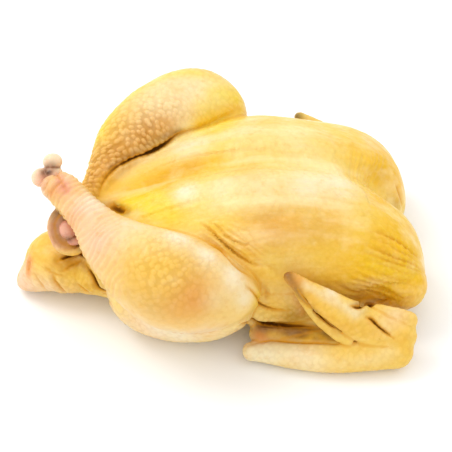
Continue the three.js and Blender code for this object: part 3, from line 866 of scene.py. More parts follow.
def lay(tone, places, washes):
    """Lays each wash over the colours that are there."""
    for paint, place, reach, strength in washes:
        tone = washed(tone, paint, strength * around(places, place, reach))
    return tone


def painted():
    tone = np.tile(SKIN_ELSEWHERE, (len(points), 1))
    for name, colour in SKIN_OF.items():
        tone[within(name)] = colour
    tone = lay(softened(tone, COLOUR_ROUNDS), points, WASHES)
    for paint, path, reach, strength in STROKES:
        tone = washed(tone, paint, strength * beside(points, path, reach))
    return tone * ALBEDO


tone = painted()
print("washes:", len(WASHES), "strokes:", len(STROKES), "mean colour:", tone.mean(0).round(3))


# %% [markdown]
# ## What the skin remembers
# The trees and the shader need these measures at every point, so the mesh keeps them as
# named attributes. They could be pictures on an unwrapped surface, but attributes need no
# unwrapping, and they follow the points when the skin is folded and thinned.

# %% Keep the measures on the mesh
def keep(mesh, name, kind, values, field="value"):
    layer = mesh.attributes.new(name, kind, "POINT")
    layer.data.foreach_set(field, values.astype(np.float32).ravel())


def keep_tone(mesh, tone):
    opaque = np.ones((len(tone), 1))
    keep(mesh, "tone", "FLOAT_COLOR", np.hstack([tone, opaque]), "color")


keep(skin.data, "follicle", "FLOAT_VECTOR", np.stack([run, turn, bumpy], -1), "vector")
keep(skin.data, "ringed", "FLOAT", ringed)
keep(skin.data, "stretched", "FLOAT", stretched)
# the crease measure also carries the painted shade of the valleys, left out beside the keel
keep(skin.data, "crease", "FLOAT", crease * (1 - beside(points, BESIDE_KEEL, 11)))
keep_tone(skin.data, tone)
print("kept:", [layer.name for layer in skin.data.attributes if not layer.is_internal])

# %% [markdown]
# ## Swells, folds and wrinkles
# Loose skin gathers where a limb presses on the body: beside the near thigh, under the
# knee, round the tail and at the neck. A fold is a groove with a soft lip on each side, so
# each is drawn as a short path on the skin, with a depth, a width and a painted shade: a
# dark line down the groove that stands for the shade that folds hold, with their juices.
# A geometry node tree finds the nearest path for every point of the skin, moves the point
# by a profile of that distance and keeps the painted shade on it. The tree can be given
# other paths, which a carved mesh can't. The same tree raises the broad pads of the
# breast: there the depth is negative and the width is that of the muscle.

# %% Swells
# Each has its places on the skin in millimetres, then its depth, width and painted shade.
SWELLS = [
    ([(-58, -3, 65), (-44, 3, 70), (-29, 7, 75), (-14, 8, 79), (0, 7, 82), (18, 3, 86),
      (38, -1, 86), (62, 2, 80)], 1.9, 5.5, 0),
    ([(-63, 11, 66), (-43, 22, 70), (-19, 26, 78), (5, 22, 84), (34, 20, 86), (64, 19, 80)],
     -1.3, 9, 0),
    ([(-40, -15, 71), (-19, -12, 78), (4, -12, 84), (30, -14, 87), (59, -13, 81),
      (81, -18, 74)], -1.4, 8, 0),
    ([(-40, -24, 68), (-18, -28, 76), (7, -37, 79), (30, -40, 80), (45, -36, 80)], 1.1, 5, 0),
    ([(15, -50, 72), (38, -50, 73), (60, -47, 70)], -1.0, 8, 0),
    ([(81, 26, 74), (81, 9, 71), (86, -9, 70), (96, -20, 66), (106, -22, 57)], 1.7, 8, 0),
    ([(-93, -16, 56), (-90, -17.5, 53), (-87, -19, 51)], 5.5, 5.5, 0.3),
    ([(-64, -2, 63), (-60, -5, 64), (-56, -9, 64), (-53, -12, 65)], 3.0, 3.8, 0.85),
    ([(-100, -4, 75), (-98, -4, 79), (-97, -3, 82)], -1.6, 3.2, 0),
    ([(-93, 9, 81), (-90, 9, 84), (-87, 6, 86)], -1.1, 3.0, 0),
    ([(-92, -10, 79), (-90, -10, 82)], -0.9, 3.0, 0),
]

# %% Folds
# Each path has its depth, its width and its painted shade, which may vary along it.
FOLDS = [
    # beside the near thigh
    ([(-12, -34, 75), (-6, -41, 73), (-1, -47, 70), (4, -51, 67), (11, -55, 63),
      (20, -58, 60)], 1.9, 1.5, 0.6),
    ([(-9, -33, 76), (-3, -39, 76), (1, -44, 73), (7, -48, 71), (12, -50, 70),
      (15, -49, 73)], 1.4, 1.4, 0.35),
    ([(-12, -42, 71), (-4, -48, 67), (1, -56, 68), (6, -62, 65), (13, -63, 58)],
     1.4, 1.5, 0.5),
    ([(20, -60, 48), (23, -60, 40), (22, -62, 36)], 1.2, 1.6, 0.3),
    ([(21, -57, 62), (26, -59, 59), (31, -60, 53)], 0.8, 1.6, 0.2),
    ([(21, -51, 72), (28, -53, 70), (35, -52, 71)], 0.4, 1.6, 0.1),
    ([(-22, -28, 74), (-1, -36, 77), (21, -41, 79), (36, -40, 80)], 0.4, 1.6, 0.1),
    # under the knee and along the lower edge of the body
    ([(10, -71, 59), (13, -68, 46), (18, -63, 35), (25, -64, 31), (36, -66, 29)],
     1.6, 1.4, 0.7),
    ([(8, -75, 31), (13, -66, 24), (16, -62, 22), (22, -63, 18), (34, -67, 18),
      (44, -68, 18), (54, -70, 17)], 2.6, 1.6, 1.0),
    ([(12, -76, 13), (24, -74, 14), (41, -78, 15), (58, -83, 18), (69, -88, 21)],
     0.8, 1.2, 0.5),
    # wing
    ([(39, -73, 55), (44, -75, 47), (48, -75, 42), (52, -74, 33), (58, -77, 28),
      (64, -80, 23), (70, -85, 22)], 1.8, 1.1, 1.0),
    ([(78, -82, 37), (81, -82, 34), (84, -84, 31), (88, -86, 28), (93, -89, 25)],
     2.2, 1.1, 1.0),
    ([(69, -77, 42), (73, -77, 40), (77, -74, 36), (83, -66, 28), (87, -64, 27)],
     2.4, 1.4, 1.0),
    ([(86, -66, 31), (92, -65, 29), (99, -62, 31)], 1.4, 1.6, 0.5),
    ([(63, -60, 44), (72, -61, 37), (81, -61, 34)], 0.8, 1.6, 0.3),
    # tail
    ([(-100, -18, 28), (-98, -22, 22), (-95, -22, 16), (-92, -19, 9)], 1.7, 1.6, 0.5),
    ([(-80, -19, 34), (-76, -27, 30), (-72, -31, 22), (-66, -47, 25)], 2.0, 1.7, 0.9),
    ([(-72, -30, 19), (-68, -36, 17), (-64, -41, 14)], 1.0, 1.5, 0.5),
    ([(-96, -16, 34), (-90, -14, 35), (-83, -12, 36), (-79, -18, 40)], 1.6, 1.5, 1.0),
    ([(-94, -20, 28), (-88, -18, 31), (-80, -17, 35)], 1.1, 1.6, 0.5),
    ([(-86, -24, 22), (-82, -26, 18), (-80, -28, 13)], 1.0, 1.6, 0.5),
    ([(-104, -15, 30), (-99, -19, 27), (-92, -21, 26)], 0.9, 1.4, 0.35),
    ([(-110, -13, 24), (-106, -18, 18), (-104, -19, 12)], 0.9, 1.5, 0.3),
    ([(-115, -9, 29), (-114, -10, 25), (-114, -12, 21)], 0.9, 1.5, 0.25),
    # ankles
    ([(-96, -7, 80), (-93, -6, 84), (-89, -4, 87), (-86, 2, 87)], 1.1, 1.3, 0.25),
    ([(-94, 9, 82), (-92, 3, 86), (-89, -5, 87), (-86, -12, 83)], 1.3, 1.2, 0.3),
    ([(-103, -3, 78), (-100, -3, 81), (-98, 0, 84), (-95, 3, 85)], 1.2, 1.2, 0.3),
    ([(-101, -6, 74), (-98, -6, 78), (-96, -4, 82)], 1.0, 1.1, 0.25),
    ([(-93, -12, 72), (-89, -17, 70), (-84, -26, 66), (-80, -38, 62), (-77, -43, 57)],
     1.5, 1.6, 0.9),
    # far leg
    ([(16, 52, 80), (9, 50, 79), (-5, 42, 80), (-19, 38, 79), (-27, 34, 76),
      (-36, 30, 74), (-49, 24, 74), (-60, 18, 72), (-66, 12, 68), (-69, 5, 64)],
     1.7, 1.35, [0.2, 0.25, 0.35, 0.6, 1.0, 1.2, 1.1, 0.8, 0.9, 0.9]),
    # neck
    ([(112, 18, 44), (115, 17, 36), (118, 16, 25)], 1.2, 1.6, 0.4),
]

# %% Rows of fine wrinkles
FANS = [
    # first edge, last edge, number of wrinkles, then depth, width and painted shade
    ([(84, 24, 72), (92, 27, 68), (100, 31, 62), (107, 36, 54)],
     [(82, -8, 72), (88, -14, 70), (96, -17, 66), (104, -16, 60)], 8, 0.6, 1.2, 0.09),
    ([(88, -39, 66), (80, -49, 63), (75, -56, 57), (71, -60, 47), (75, -61, 36)],
     [(116, -42, 40), (117, -48, 35), (115, -54, 32), (113, -58, 27), (109, -59, 24)],
     10, 1.2, 1.6, 0.3),
    ([(80, -62, 33), (87, -63, 32), (95, -62, 29), (104, -60, 26)],
     [(94, -34, 64), (103, -36, 57), (110, -39, 49), (116, -41, 41)], 6, 0.35, 1.5, 0.03),
    ([(27, -30, 85), (34, -32, 83), (40, -34, 82), (47, -34, 81), (54, -32, 80),
      (62, -30, 79)],
     [(30, -35, 83), (37, -38, 80), (44, -38, 80), (51, -38, 78), (58, -36, 77),
      (66, -34, 76)], 9, 0.3, 1.0, 0.07),
    ([(-36, -83, 46), (-25, -85, 45), (-13, -85, 45)],
     [(-35, -70, 20), (-24, -73, 18), (-11, -77, 24)], 6, 0.3, 1.5, 0.04),
    ([(-14, -38, 74), (-6, -36, 77), (2, -36, 78)],
     [(12, -60, 62), (20, -57, 64), (28, -54, 68)], 7, 0.8, 1.1, 0.3),
]
STEP = 0.7  # between the points that stand for a path, in millimetres
SWAY = 0.7  # how far a wrinkle wanders from a straight line, in millimetres


def fan_paths():
    """Each fan's wrinkles run from its first edge to its last, a little wavy."""
    sway = np.random.default_rng(7)
    paths = []
    for first, last, count, depth, width, fold_shade in FANS:
        share = (np.arange(count) + 0.5) / count
        starts, ends = spline(first, share), spline(last, share)
        for start, end in zip(starts, ends):
            t = np.linspace(0, 1, 5)[:, None]
            line = start + (end - start) * t + sway.normal(0, SWAY, (5, 3))
            scale = sway.uniform(0.6, 1.2)
            paths.append((line, depth * scale, width, fold_shade * scale))
    return paths


def path_object(name, paths):
    """Points along every path, laid on the skin, with what the fold tree needs."""
    lines, depths, widths, fold_shades = [], [], [], []
    for path, depth, width, fold_shade in paths:
        length = np.linalg.norm(np.diff(np.array(path, float), axis=0), axis=1).sum()
        t = np.linspace(0, 1, max(3, int(length / STEP)))
        taper = np.sqrt(np.sin(np.pi * np.clip(t, 0.03, 0.97)))
        lines.append(spline(path, t))
        depths.append(depth * taper)
        widths.append(np.full(len(t), width))
        fold_shades.append((along(fold_shade, t) if np.ndim(fold_shade) else fold_shade) * taper)
    line = np.vstack(lines)
    skin_points = places_of(skin.data)
    near = nearest(skin_points, line)
    normals = normals_of(skin.data)[near]
    rise = ((line - skin_points[near]) * normals).sum(1)
    mesh = bpy.data.meshes.new(name)
    mesh.from_pydata(((line - rise[:, None] * normals) * MM).tolist(), [], [])
    keep(mesh, "depth", "FLOAT", np.concatenate(depths) * MM)
    keep(mesh, "width", "FLOAT", np.concatenate(widths) * MM)
    keep(mesh, "fold_shade", "FLOAT", np.concatenate(fold_shades))
    return placed(name, mesh)


print(len(SWELLS), "swells,", len(FOLDS), "folds,", len(fan_paths()), "fine wrinkles")


# %% Node tree helpers
def new_tree(name, inputs):
    """An empty tree whose named inputs follow its geometry."""
    tree = bpy.data.node_groups.new(name, "GeometryNodeTree")
    tree.is_modifier = True
    tree.interface.new_socket("Geometry", in_out="INPUT", socket_type="NodeSocketGeometry")
    for label, kind, value in inputs:
        socket = tree.interface.new_socket(label, in_out="INPUT",
                                           socket_type="NodeSocket" + kind)
        if value is not None:
            socket.default_value = value
    tree.interface.new_socket("Geometry", in_out="OUTPUT", socket_type="NodeSocketGeometry")
    return tree


def node(tree, kind, values=(), **settings):
    """Adds a node. values are pairs of an input's name or number and a value or a socket."""
    made = tree.nodes.new(kind)
    for name, setting in settings.items():
        setattr(made, name, setting)
    for key, value in values:
        if isinstance(value, bpy.types.NodeSocket):
            tree.links.new(value, made.inputs[key])
        else:
            made.inputs[key].default_value = value
    return made


def math_node(tree, operation, a, b=0.0):
    return node(tree, "ShaderNodeMath", [(0, a), (1, b)], operation=operation).outputs[0]


def times(tree, a, b):
    return math_node(tree, "MULTIPLY", a, b)


def plus(tree, a, b):
    return math_node(tree, "ADD", a, b)


def named(tree, name, kind="FLOAT"):
    made = node(tree, "GeometryNodeInputNamedAttribute", [("Name", name)], data_type=kind)
    return made.outputs["Attribute"]


def moved_out(tree, geometry, height):
    """Moves each point of the geometry out along its normal."""
    normal = node(tree, "GeometryNodeInputNormal").outputs[0]
    offset = node(tree, "ShaderNodeVectorMath", [(0, normal), ("Scale", height)],
                  operation="SCALE")
    return node(tree, "GeometryNodeSetPosition",
                [("Geometry", geometry), ("Offset", offset.outputs[0])]).outputs[0]


def finish_tree(tree, geometry, inputs):
    realized = node(tree, "GeometryNodeRealizeInstances", [("Geometry", geometry)])
    material = node(tree, "GeometryNodeSetMaterial",
                    [("Geometry", realized.outputs[0]), ("Material", inputs["Material"])])
    node(tree, "NodeGroupOutput", [("Geometry", material.outputs[0])])


def run_tree(obj, tree, values):
    """Applies a tree to obj with its inputs set by name, and leaves a plain mesh."""
    modifier = obj.modifiers.new(tree.name, "NODES")
    modifier.node_group = tree
    sockets = {item.name: item.identifier for item in tree.interface.items_tree
               if item.item_type == "SOCKET" and item.in_out == "INPUT"}
    for name, value in values.items():
        modifier[sockets[name]] = value
    return applied(obj)


# %% The fold tree
LIP_PLACE = 2.0  # how many widths from the groove its lips stand
FOLD_SHADE_WIDTH = 1.25  # how many times as narrow as the groove its painted shade is


def fold_tree():
    tree = new_tree("skin_folds", [
        ("Paths", "Object", None), ("Strength", "Float", 1.0), ("Lip", "Float", 0.35),
        ("Shade Name", "String", "fold_shade"), ("Material", "Material", None)])
    inputs = node(tree, "NodeGroupInput").outputs
    position = node(tree, "GeometryNodeInputPosition").outputs[0]
    paths = node(tree, "GeometryNodeObjectInfo", [("Object", inputs["Paths"])])
    paths = paths.outputs["Geometry"]
    closest = node(tree, "GeometryNodeSampleNearest", [("Geometry", paths)]).outputs[0]

    def sampled(value, kind="FLOAT"):
        found = node(tree, "GeometryNodeSampleIndex", [("Geometry", paths), ("Value", value),
                     ("Index", closest)], data_type=kind)
        return found.outputs[0]

    def bell(value):
        square = times(tree, value, value)
        return math_node(tree, "EXPONENT", times(tree, square, -1.0))

    gap = node(tree, "ShaderNodeVectorMath",
               [(0, position), (1, sampled(position, "FLOAT_VECTOR"))], operation="DISTANCE")
    share = math_node(tree, "DIVIDE", gap.outputs["Value"], sampled(named(tree, "width")))
    lip = bell(math_node(tree, "SUBTRACT", share, LIP_PLACE))
    profile = math_node(tree, "SUBTRACT", times(tree, lip, inputs["Lip"]), bell(share))
    move = times(tree, profile, sampled(named(tree, "depth")))
    move = times(tree, move, inputs["Strength"])
    narrow = bell(times(tree, share, FOLD_SHADE_WIDTH))
    fold_shade = times(tree, sampled(named(tree, "fold_shade")), narrow)
    # the painted shade is kept first, because a field is measured where the points are by then
    stained = node(tree, "GeometryNodeStoreNamedAttribute",
                   [("Geometry", inputs["Geometry"]), ("Name", inputs["Shade Name"]),
                    ("Value", fold_shade)], data_type="FLOAT", domain="POINT")
    finish_tree(tree, moved_out(tree, stained.outputs[0], move), inputs)
    return tree


# %% [markdown]
# ## Follicles, rings and slack
# The feather bumps stand in diagonal rows, as feather tracts do. Each is the cell round one
# point of a grid that lies in the follicle coordinates, turned to the diagonal. The points
# are shifted a little at random, so no row is quite straight. Noise makes the bumps
# stronger here and weaker there. The same tree wrinkles the shank across its length and
# gives the whole skin slow, shallow unevenness, because flesh under skin is never as
# smooth as a loft. The shader reads the same cells and rings, so its colours sit on them.

# %% Noise and range helpers
def noise(tree, vector, scale, detail=2.0, rough=0.5):
    return node(tree, "ShaderNodeTexNoise", [("Vector", vector), ("Scale", scale),
                ("Detail", detail), ("Roughness", rough)]).outputs[0]


def remap(tree, value, low, high, to_low=0.0, to_high=1.0, ease="SMOOTHSTEP"):
    return node(tree, "ShaderNodeMapRange", [(0, value), (1, low), (2, high), (3, to_low),
                (4, to_high)], interpolation_type=ease).outputs[0]


def uneven(tree, place, scale, size):
    """A noise centred on nothing, size high."""
    centred = math_node(tree, "SUBTRACT", noise(tree, place, scale, 1.0), 0.5)
    return times(tree, centred, size)


def patchy(tree, place, weight):
    """The weight of the bumps, stronger here and weaker there."""
    share = remap(tree, noise(tree, place, 75.0), 0.35, 0.65, 0.5, 1.0, "LINEAR")
    return times(tree, weight, share)


# %% Follicle cells and rings
RING_PITCH = 0.72  # from one ring wrinkle to the next, in follicles
ROUND_PITCH = 0.8  # bumps round a limb for each one along it
SHIFTED, RANDOMNESS = 1.8, 0.7
CELL_EDGE, CELL_TOP = 0.62, 0.1  # distances from a cell's middle to a valley and its dome


def follicle_cells(tree, place, u, v):
    """1 on top of each feather bump and 0 in the valleys between them."""
    v = times(tree, v, ROUND_PITCH)
    along_one = plus(tree, plus(tree, u, v), uneven(tree, place, 62.0, SHIFTED))
    along_other = plus(tree, math_node(tree, "SUBTRACT", u, v),
                       uneven(tree, place, 47.0, SHIFTED))
    lattice = node(tree, "ShaderNodeCombineXYZ", [(0, along_one), (1, along_other)])
    cells = node(tree, "ShaderNodeTexVoronoi", [("Vector", lattice.outputs[0]),
                 ("Scale", 1.0), ("Randomness", RANDOMNESS)], voronoi_dimensions="2D")
    return remap(tree, cells.outputs["Distance"], CELL_EDGE, CELL_TOP)


def ring_wave(tree, place, u, pitch):
    """1 on top of each ring wrinkle and -1 between them, bent by noise."""
    angle = times(tree, math_node(tree, "DIVIDE", u, pitch), 2 * math.pi)
    return math_node(tree, "COSINE", plus(tree, angle, uneven(tree, place, 50.0, 16.0)))


# %% The relief tree
def relief_tree():
    tree = new_tree("skin_relief", [
        ("Bump Height", "Float", 0.0013), ("Ring Height", "Float", 0.00036),
        ("Ring Pitch", "Float", RING_PITCH), ("Slack Height", "Float", 0.0022),
        ("Slack Scale", "Float", 38.0), ("Material", "Material", None)])
    inputs = node(tree, "NodeGroupInput").outputs
    position = node(tree, "GeometryNodeInputPosition").outputs[0]
    split = node(tree, "ShaderNodeSeparateXYZ", [(0, named(tree, "follicle", "FLOAT_VECTOR"))])
    u, v, weight = split.outputs
    cells = math_node(tree, "SUBTRACT", follicle_cells(tree, position, u, v), 0.5)
    bumps = times(tree, cells, patchy(tree, position, weight))
    rings = times(tree, ring_wave(tree, position, u, inputs["Ring Pitch"]),
                  patchy(tree, position, named(tree, "ringed")))
    slack = uneven(tree, position, inputs["Slack Scale"], 1.0)
    height = plus(tree, times(tree, bumps, inputs["Bump Height"]),
                  times(tree, rings, inputs["Ring Height"]))
    height = plus(tree, height, times(tree, slack, inputs["Slack Height"]))
    finish_tree(tree, moved_out(tree, inputs["Geometry"], height), inputs)
    return tree


# %% [markdown]
# ## Skin
# Raw skin is thin, fatty and wet. Light goes a few millimetres into it and comes out
# warmer, so the shader scatters under the surface, with red going furthest. A thin clear
# coat stands for moisture. The colour comes from the washes, broken up by mottling. Shade
# is painted into the folds, into the valleys where the lofts meet and into the troughs of
# the shank's rings. Between the feather bumps the colour is darker and on their tops
# paler, partly the skin's own pattern and partly painted shade and highlight.

# %% Shader helpers
def shader_tree(name, values):
    """A material with one shader, and the values of its own sockets."""
    material = bpy.data.materials.new(name)
    material.use_nodes = True
    tree = material.node_tree
    tree.nodes.clear()
    surface = tree.nodes.new("ShaderNodeBsdfPrincipled")
    output = tree.nodes.new("ShaderNodeOutputMaterial")
    tree.links.new(surface.outputs[0], output.inputs["Surface"])
    for socket, value in values.items():
        surface.inputs[socket].default_value = value
    return material, tree, surface


def blend(tree, colour, paint, share):
    """The colour with a share of a paint laid over it."""
    over = (*PAINT[paint], 1.0)
    return node(tree, "ShaderNodeMix", [(0, share), (6, colour), (7, over)],
                data_type="RGBA").outputs[2]


def attribute(tree, name, output="Fac"):
    return node(tree, "ShaderNodeAttribute", attribute_name=name).outputs[output]


def bumped(tree, surface, height, strength, distance):
    bump = node(tree, "ShaderNodeBump", [("Height", height), ("Strength", strength),
                ("Distance", distance)])
    tree.links.new(bump.outputs[0], surface.inputs["Normal"])


# %% Skin colour
# painted shade in the folds: amber where it is faint, then brown, then dark at a groove's core
FOLD_SHADES = (("amber", 0.02, 0.4, 0.7), ("brown", 0.3, 0.75, 0.85), ("dark", 0.6, 1.0, 0.85))


def mottled(tree, place, colour):
    """Blotches and speckles in the colour of the washes."""
    speckle = noise(tree, place, 230.0, 4.0, 0.6)
    for paint, pattern, low, high, most in (
            ("tan", noise(tree, place, 55.0, 3.0), 0.42, 0.7, 0.22),
            ("cream", noise(tree, place, 90.0, 3.0), 0.5, 0.75, 0.14),
            ("pale", speckle, 0.5, 0.7, 0.04), ("amber", speckle, 0.5, 0.3, 0.2)):
        colour = blend(tree, colour, paint, remap(tree, pattern, low, high, 0.0, most))
    return colour


def skin_colour(tree, place, long_way, u, cells, weight, fold_shade):
    colour = mottled(tree, place, attribute(tree, "tone", "Color"))
    streak, stretched = noise(tree, long_way, 1.0, 3.0), attribute(tree, "stretched")
    for paint, low, high in (("saffron", 0.5, 0.72), ("cream", 0.5, 0.3)):
        share = times(tree, remap(tree, streak, low, high, 0.0, 0.3), stretched)
        colour = blend(tree, colour, paint, share)
    # paler on the feather bumps and umber between them: partly the skin's own pattern, partly a
    # painted highlight on each bump and painted shade in the valleys
    dome = times(tree, remap(tree, cells, 0.1, 0.8), weight)
    valley = times(tree, remap(tree, cells, 0.6, 0.0), weight)
    colour = blend(tree, colour, "cream", times(tree, dome, 0.14))
    colour = blend(tree, colour, "umber", times(tree, valley, 0.5))
    # painted shade: rose in the troughs between the shank's ring wrinkles
    ring = remap(tree, ring_wave(tree, place, u, RING_PITCH), 0.3, -1.0, 0.0, 0.2)
    ring = times(tree, ring, patchy(tree, place, attribute(tree, "ringed")))
    colour = blend(tree, colour, "rose", ring)
    # painted shade: amber in the valleys where the lofts meet
    hollow = remap(tree, attribute(tree, "crease"), 0.3, 1.0, 0.0, 0.5)
    colour = blend(tree, colour, "amber", hollow)
    # lays the painted shade of the folds
    for paint, low, high, most in FOLD_SHADES:
        colour = blend(tree, colour, paint, remap(tree, fold_shade, low, high, 0.0, most))
    return colour


# %% Skin material
def skin_material():
    material, tree, surface = shader_tree("chicken_skin", {
        "Subsurface Weight": 0.15, "Subsurface Radius": (1.0, 0.6, 0.2),
        "Subsurface Scale": 0.003, "Coat Roughness": 0.2})
    place = node(tree, "ShaderNodeTexCoord").outputs["Object"]
    long_way = node(tree, "ShaderNodeMapping", [("Vector", place),
                    ("Scale", (11.0, 80.0, 60.0))]).outputs[0]
    split = node(tree, "ShaderNodeSeparateXYZ", [(0, attribute(tree, "follicle", "Vector"))])
    u, v, weight = split.outputs
    cells, weight = follicle_cells(tree, place, u, v), patchy(tree, place, weight)
    # the painted shade of the folds and the swells
    fold_shade = plus(tree, attribute(tree, "fold"), attribute(tree, "swell"))
    colour = skin_colour(tree, place, long_way, u, cells, weight, fold_shade)
    tree.links.new(colour, surface.inputs["Base Color"])
    open_skin = remap(tree, fold_shade, 0.7, 0.15)
    for name, level in (("Specular IOR Level", 0.2), ("Coat Weight", 0.06)):
        tree.links.new(times(tree, open_skin, level), surface.inputs[name])
    wet = remap(tree, noise(tree, place, 70.0, 3.0), 0.35, 0.65, 0.3, 0.5)
    tree.links.new(wet, surface.inputs["Roughness"])

    domes = times(tree, cells, times(tree, weight, 0.8))
    fine = times(tree, noise(tree, place, 900.0, 3.0, 0.6), 0.25)
    creep = times(tree, noise(tree, place, 260.0, 4.0, 0.6), 0.9)
    taut = times(tree, noise(tree, long_way, 4.0, 3.0), attribute(tree, "stretched"))
    height = plus(tree, plus(tree, domes, plus(tree, fine, creep)), times(tree, taut, 2.0))
    bumped(tree, surface, height, 0.6, 0.0006)
    return material


# %% [markdown]
# ## Run the trees
# The swells come first, then the folds, then the relief, because each one moves what the
# last one left. The skin is thinned at the end to keep its triangles in bounds, mostly
# where it is smooth.

# %% Run the trees
MOST_TRIANGLES = 196000


def thinned(obj):
    triangles = sum(len(face.vertices) - 2 for face in obj.data.polygons)
    thin = obj.modifiers.new("thin", "DECIMATE")
    thin.ratio = min(1.0, MOST_TRIANGLES / triangles)
    thin.use_collapse_triangulate = True
    return applied(obj)


skin_finish = skin_material()
folding = fold_tree()
swells = path_object("swells", SWELLS)
run_tree(skin, folding, {"Paths": swells, "Lip": 0.0, "Shade Name": "swell",
                         "Material": skin_finish})
folds = path_object("folds", FOLDS + fan_paths())
run_tree(skin, folding, {"Paths": folds, "Shade Name": "fold", "Material": skin_finish})
for used in (swells, folds):
    bpy.data.objects.remove(used)
run_tree(skin, relief_tree(), {"Material": skin_finish})
print("skin after relief:", len(skin.data.vertices), "points")
thinned(skin)
move_points(skin.data, places_of(skin.data))
skin.data.shade_smooth()
print("skin thinned:", len(skin.data.polygons), "faces")

# %% [markdown]
# ## The ankle joints
# The feet were cut off at the ankle, so each shank ends in two pale knobs of cartilage.
# They are small and smooth, wetter and whiter than skin. Each knob is a rounded ball
# flattened towards its neighbour, and a remesh joins them into one piece.

# %% Cartilage
def cartilage_material():
    material, tree, surface = shader_tree("cartilage", {
        "Subsurface Weight": 0.25, "Subsurface Radius": (1.0, 0.5, 0.3),
        "Subsurface Scale": 0.002, "Coat Weight": 0.1, "Specular IOR Level": 0.3,
        "Coat Roughness": 0.15})
    place = node(tree, "ShaderNodeTexCoord").outputs["Object"]
    blotch = noise(tree, place, 260.0, 3.0)
    colour = blend(tree, attribute(tree, "tone", "Color"), "clay",
                   remap(tree, blotch, 0.4, 0.65, 0.0, 0.35))
    tree.links.new(colour, surface.inputs["Base Color"])
    tree.links.new(remap(tree, blotch, 0.3, 0.7, 0.2, 0.4), surface.inputs["Roughness"])
    bumped(tree, surface, noise(tree, place, 500.0, 3.0), 0.5, 0.0005)
    return material


# %% Knuckles
KNOB_VOXEL = 0.45


def ball(place, radii, rings=24, sides=32):
    polar = (np.pi * np.arange(1, rings) / rings)[:, None]
    angle = around_once(sides)
    unit = np.stack([np.sin(polar) * np.cos(angle), np.sin(polar) * np.sin(angle),
                     np.broadcast_to(-np.cos(polar), (rings - 1, sides))], -1)
    centre, radii = np.array(place, float), np.array(radii, float)
    pole = np.array([0, 0, radii[2]])
    return loft_dict("ball", centre + unit * radii, centre - pole, centre + pole)


def knuckle_piece(name, balls, base, washes):
    """Joined balls, coloured with washes as the skin is."""
    piece = remeshed(mesh_object(name, [ball(*knob) for knob in balls]), KNOB_VOXEL)
    hollow = settle(piece.data, KNOB_VOXEL, spread=3, rounds=14)[0]
    places = places_of(piece.data)
    # painted shade: brown in the hollows where the knobs meet
    tone = washed(np.tile(linear(*base), (len(places), 1)), "brown", 0.8 * hollow)
    keep_tone(piece.data, lay(tone, places, washes))
    piece.data.materials.append(cartilage)
    piece.data.shade_smooth()
    return piece


cartilage = cartilage_material()
near_knuckles = knuckle_piece(
    "near_knuckles",
    [((-98.1, 12.1, 84.9), (5.8, 5.2, 4.8)), ((-105.2, 6.3, 78.2), (6.0, 5.6, 5.8)),
     ((-98.6, 6.4, 79.4), (6.4, 6.0, 5.8))], (238, 212, 176),
    # painted shade: brown and dark in the pit between the knobs; the pale wash is a painted
    # highlight
    [("rose", (-98, 5, 83), 5, 0.7), ("brown", (-94.5, 9, 86), 4, 0.6),
     ("brown", (-98.5, 7.2, 84.5), 4.2, 1.0), ("dark", (-97, 6.5, 85), 2.2, 0.8),
     ("pale", (-103, 16, 90), 5, 0.6), ("orange", (-106, 2, 75), 4, 0.6),
     ("rose", (-101, 3, 79), 4, 0.4)])
far_knuckles = knuckle_piece(
    "far_knuckles",
    [((-91.9, -15.6, 56), (5.4, 5.2, 6.2)), ((-89, -19.4, 50), (4.2, 2.6, 3.0))],
    (214, 150, 126), [("pink", (-92, -20, 61), 4, 0.6), ("brown", (-88, -17, 53), 3, 0.8)])
print("knuckles:", len(near_knuckles.data.vertices), len(far_knuckles.data.vertices))

# %% [markdown]
# ## One body
# The bird has no joints, so its skin and the knobs at both ankles ride on one body. The
# skin is the solid's own surface in finer detail, so it takes the solid's place.

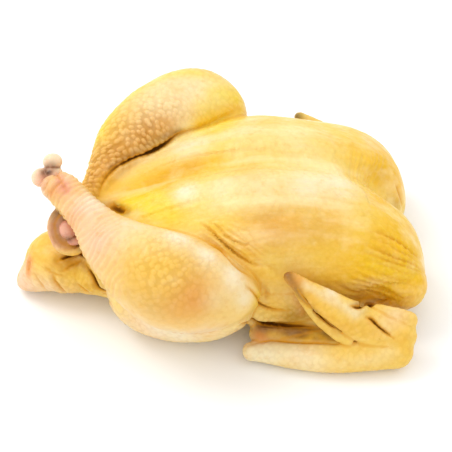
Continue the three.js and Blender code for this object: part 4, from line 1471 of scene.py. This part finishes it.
# %% Put the pieces on the body
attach(skin, "root")
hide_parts("chicken")
for piece in (near_knuckles, far_knuckles):
    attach(piece, "root")
print("pieces:", skin.name, near_knuckles.name, far_knuckles.name)

# %% [markdown]
# ## Studio
# The bird lies on a plain white surface under broad soft light. A large softbox stands
# high beyond its tail, a little to the far side, which gives the pale sheen along the
# breast. The white surroundings fill the shade.

# %% Floor, light and camera
def studio_floor():
    mesh = bpy.data.meshes.new("floor")
    size, steps = 3.0, 9
    places = [(size * (i / (steps - 1) - 0.5), size * (j / (steps - 1) - 0.5), 0)
              for j in range(steps) for i in range(steps)]
    faces = [(j * steps + i, j * steps + i + 1, (j + 1) * steps + i + 1, (j + 1) * steps + i)
             for j in range(steps - 1) for i in range(steps - 1)]
    mesh.from_pydata(places, [], faces)
    floor = placed("floor", mesh)
    mesh.materials.append(shader_tree("studio_floor", {
        "Base Color": (0.95, 0.95, 0.95, 1), "Roughness": 0.9, "Specular IOR Level": 0.1})[0])


def softbox(name, place, target, size, power):
    light = bpy.data.lights.new(name, "AREA")
    light.shape = "DISK"
    light.size = size
    light.energy = power
    obj = placed(name, light)
    obj.location = place
    direction = Vector(target) - Vector(place)
    obj.rotation_euler = direction.to_track_quat("-Z", "Y").to_euler()


def camera():
    azimuth, elevation, distance, lens = -6.0, 45.0, 0.9, 118.0
    target = Vector((0.0064, 0.0032, 0.033))
    a, e = math.radians(azimuth), math.radians(elevation)
    away = Vector((math.sin(a) * math.cos(e), -math.cos(a) * math.cos(e), math.sin(e)))
    data = bpy.data.cameras.new("camera")
    data.lens = lens
    data.sensor_width = 36
    obj = placed("camera", data)
    obj.location = target + away * distance
    obj.rotation_euler = away.to_track_quat("Z", "Y").to_euler()
    bpy.context.scene.camera = obj


studio_floor()
softbox("key", (-0.6, 0.35, 1.0), (0, 0, 0.03), 0.7, 4.5)
world = bpy.data.worlds.new("studio")
world.use_nodes = True
world.node_tree.nodes["Background"].inputs[0].default_value = (1, 1, 1, 1)
world.node_tree.nodes["Background"].inputs[1].default_value = 1.15
bpy.context.scene.world = world
bpy.context.scene.view_settings.view_transform = "Standard"
camera()
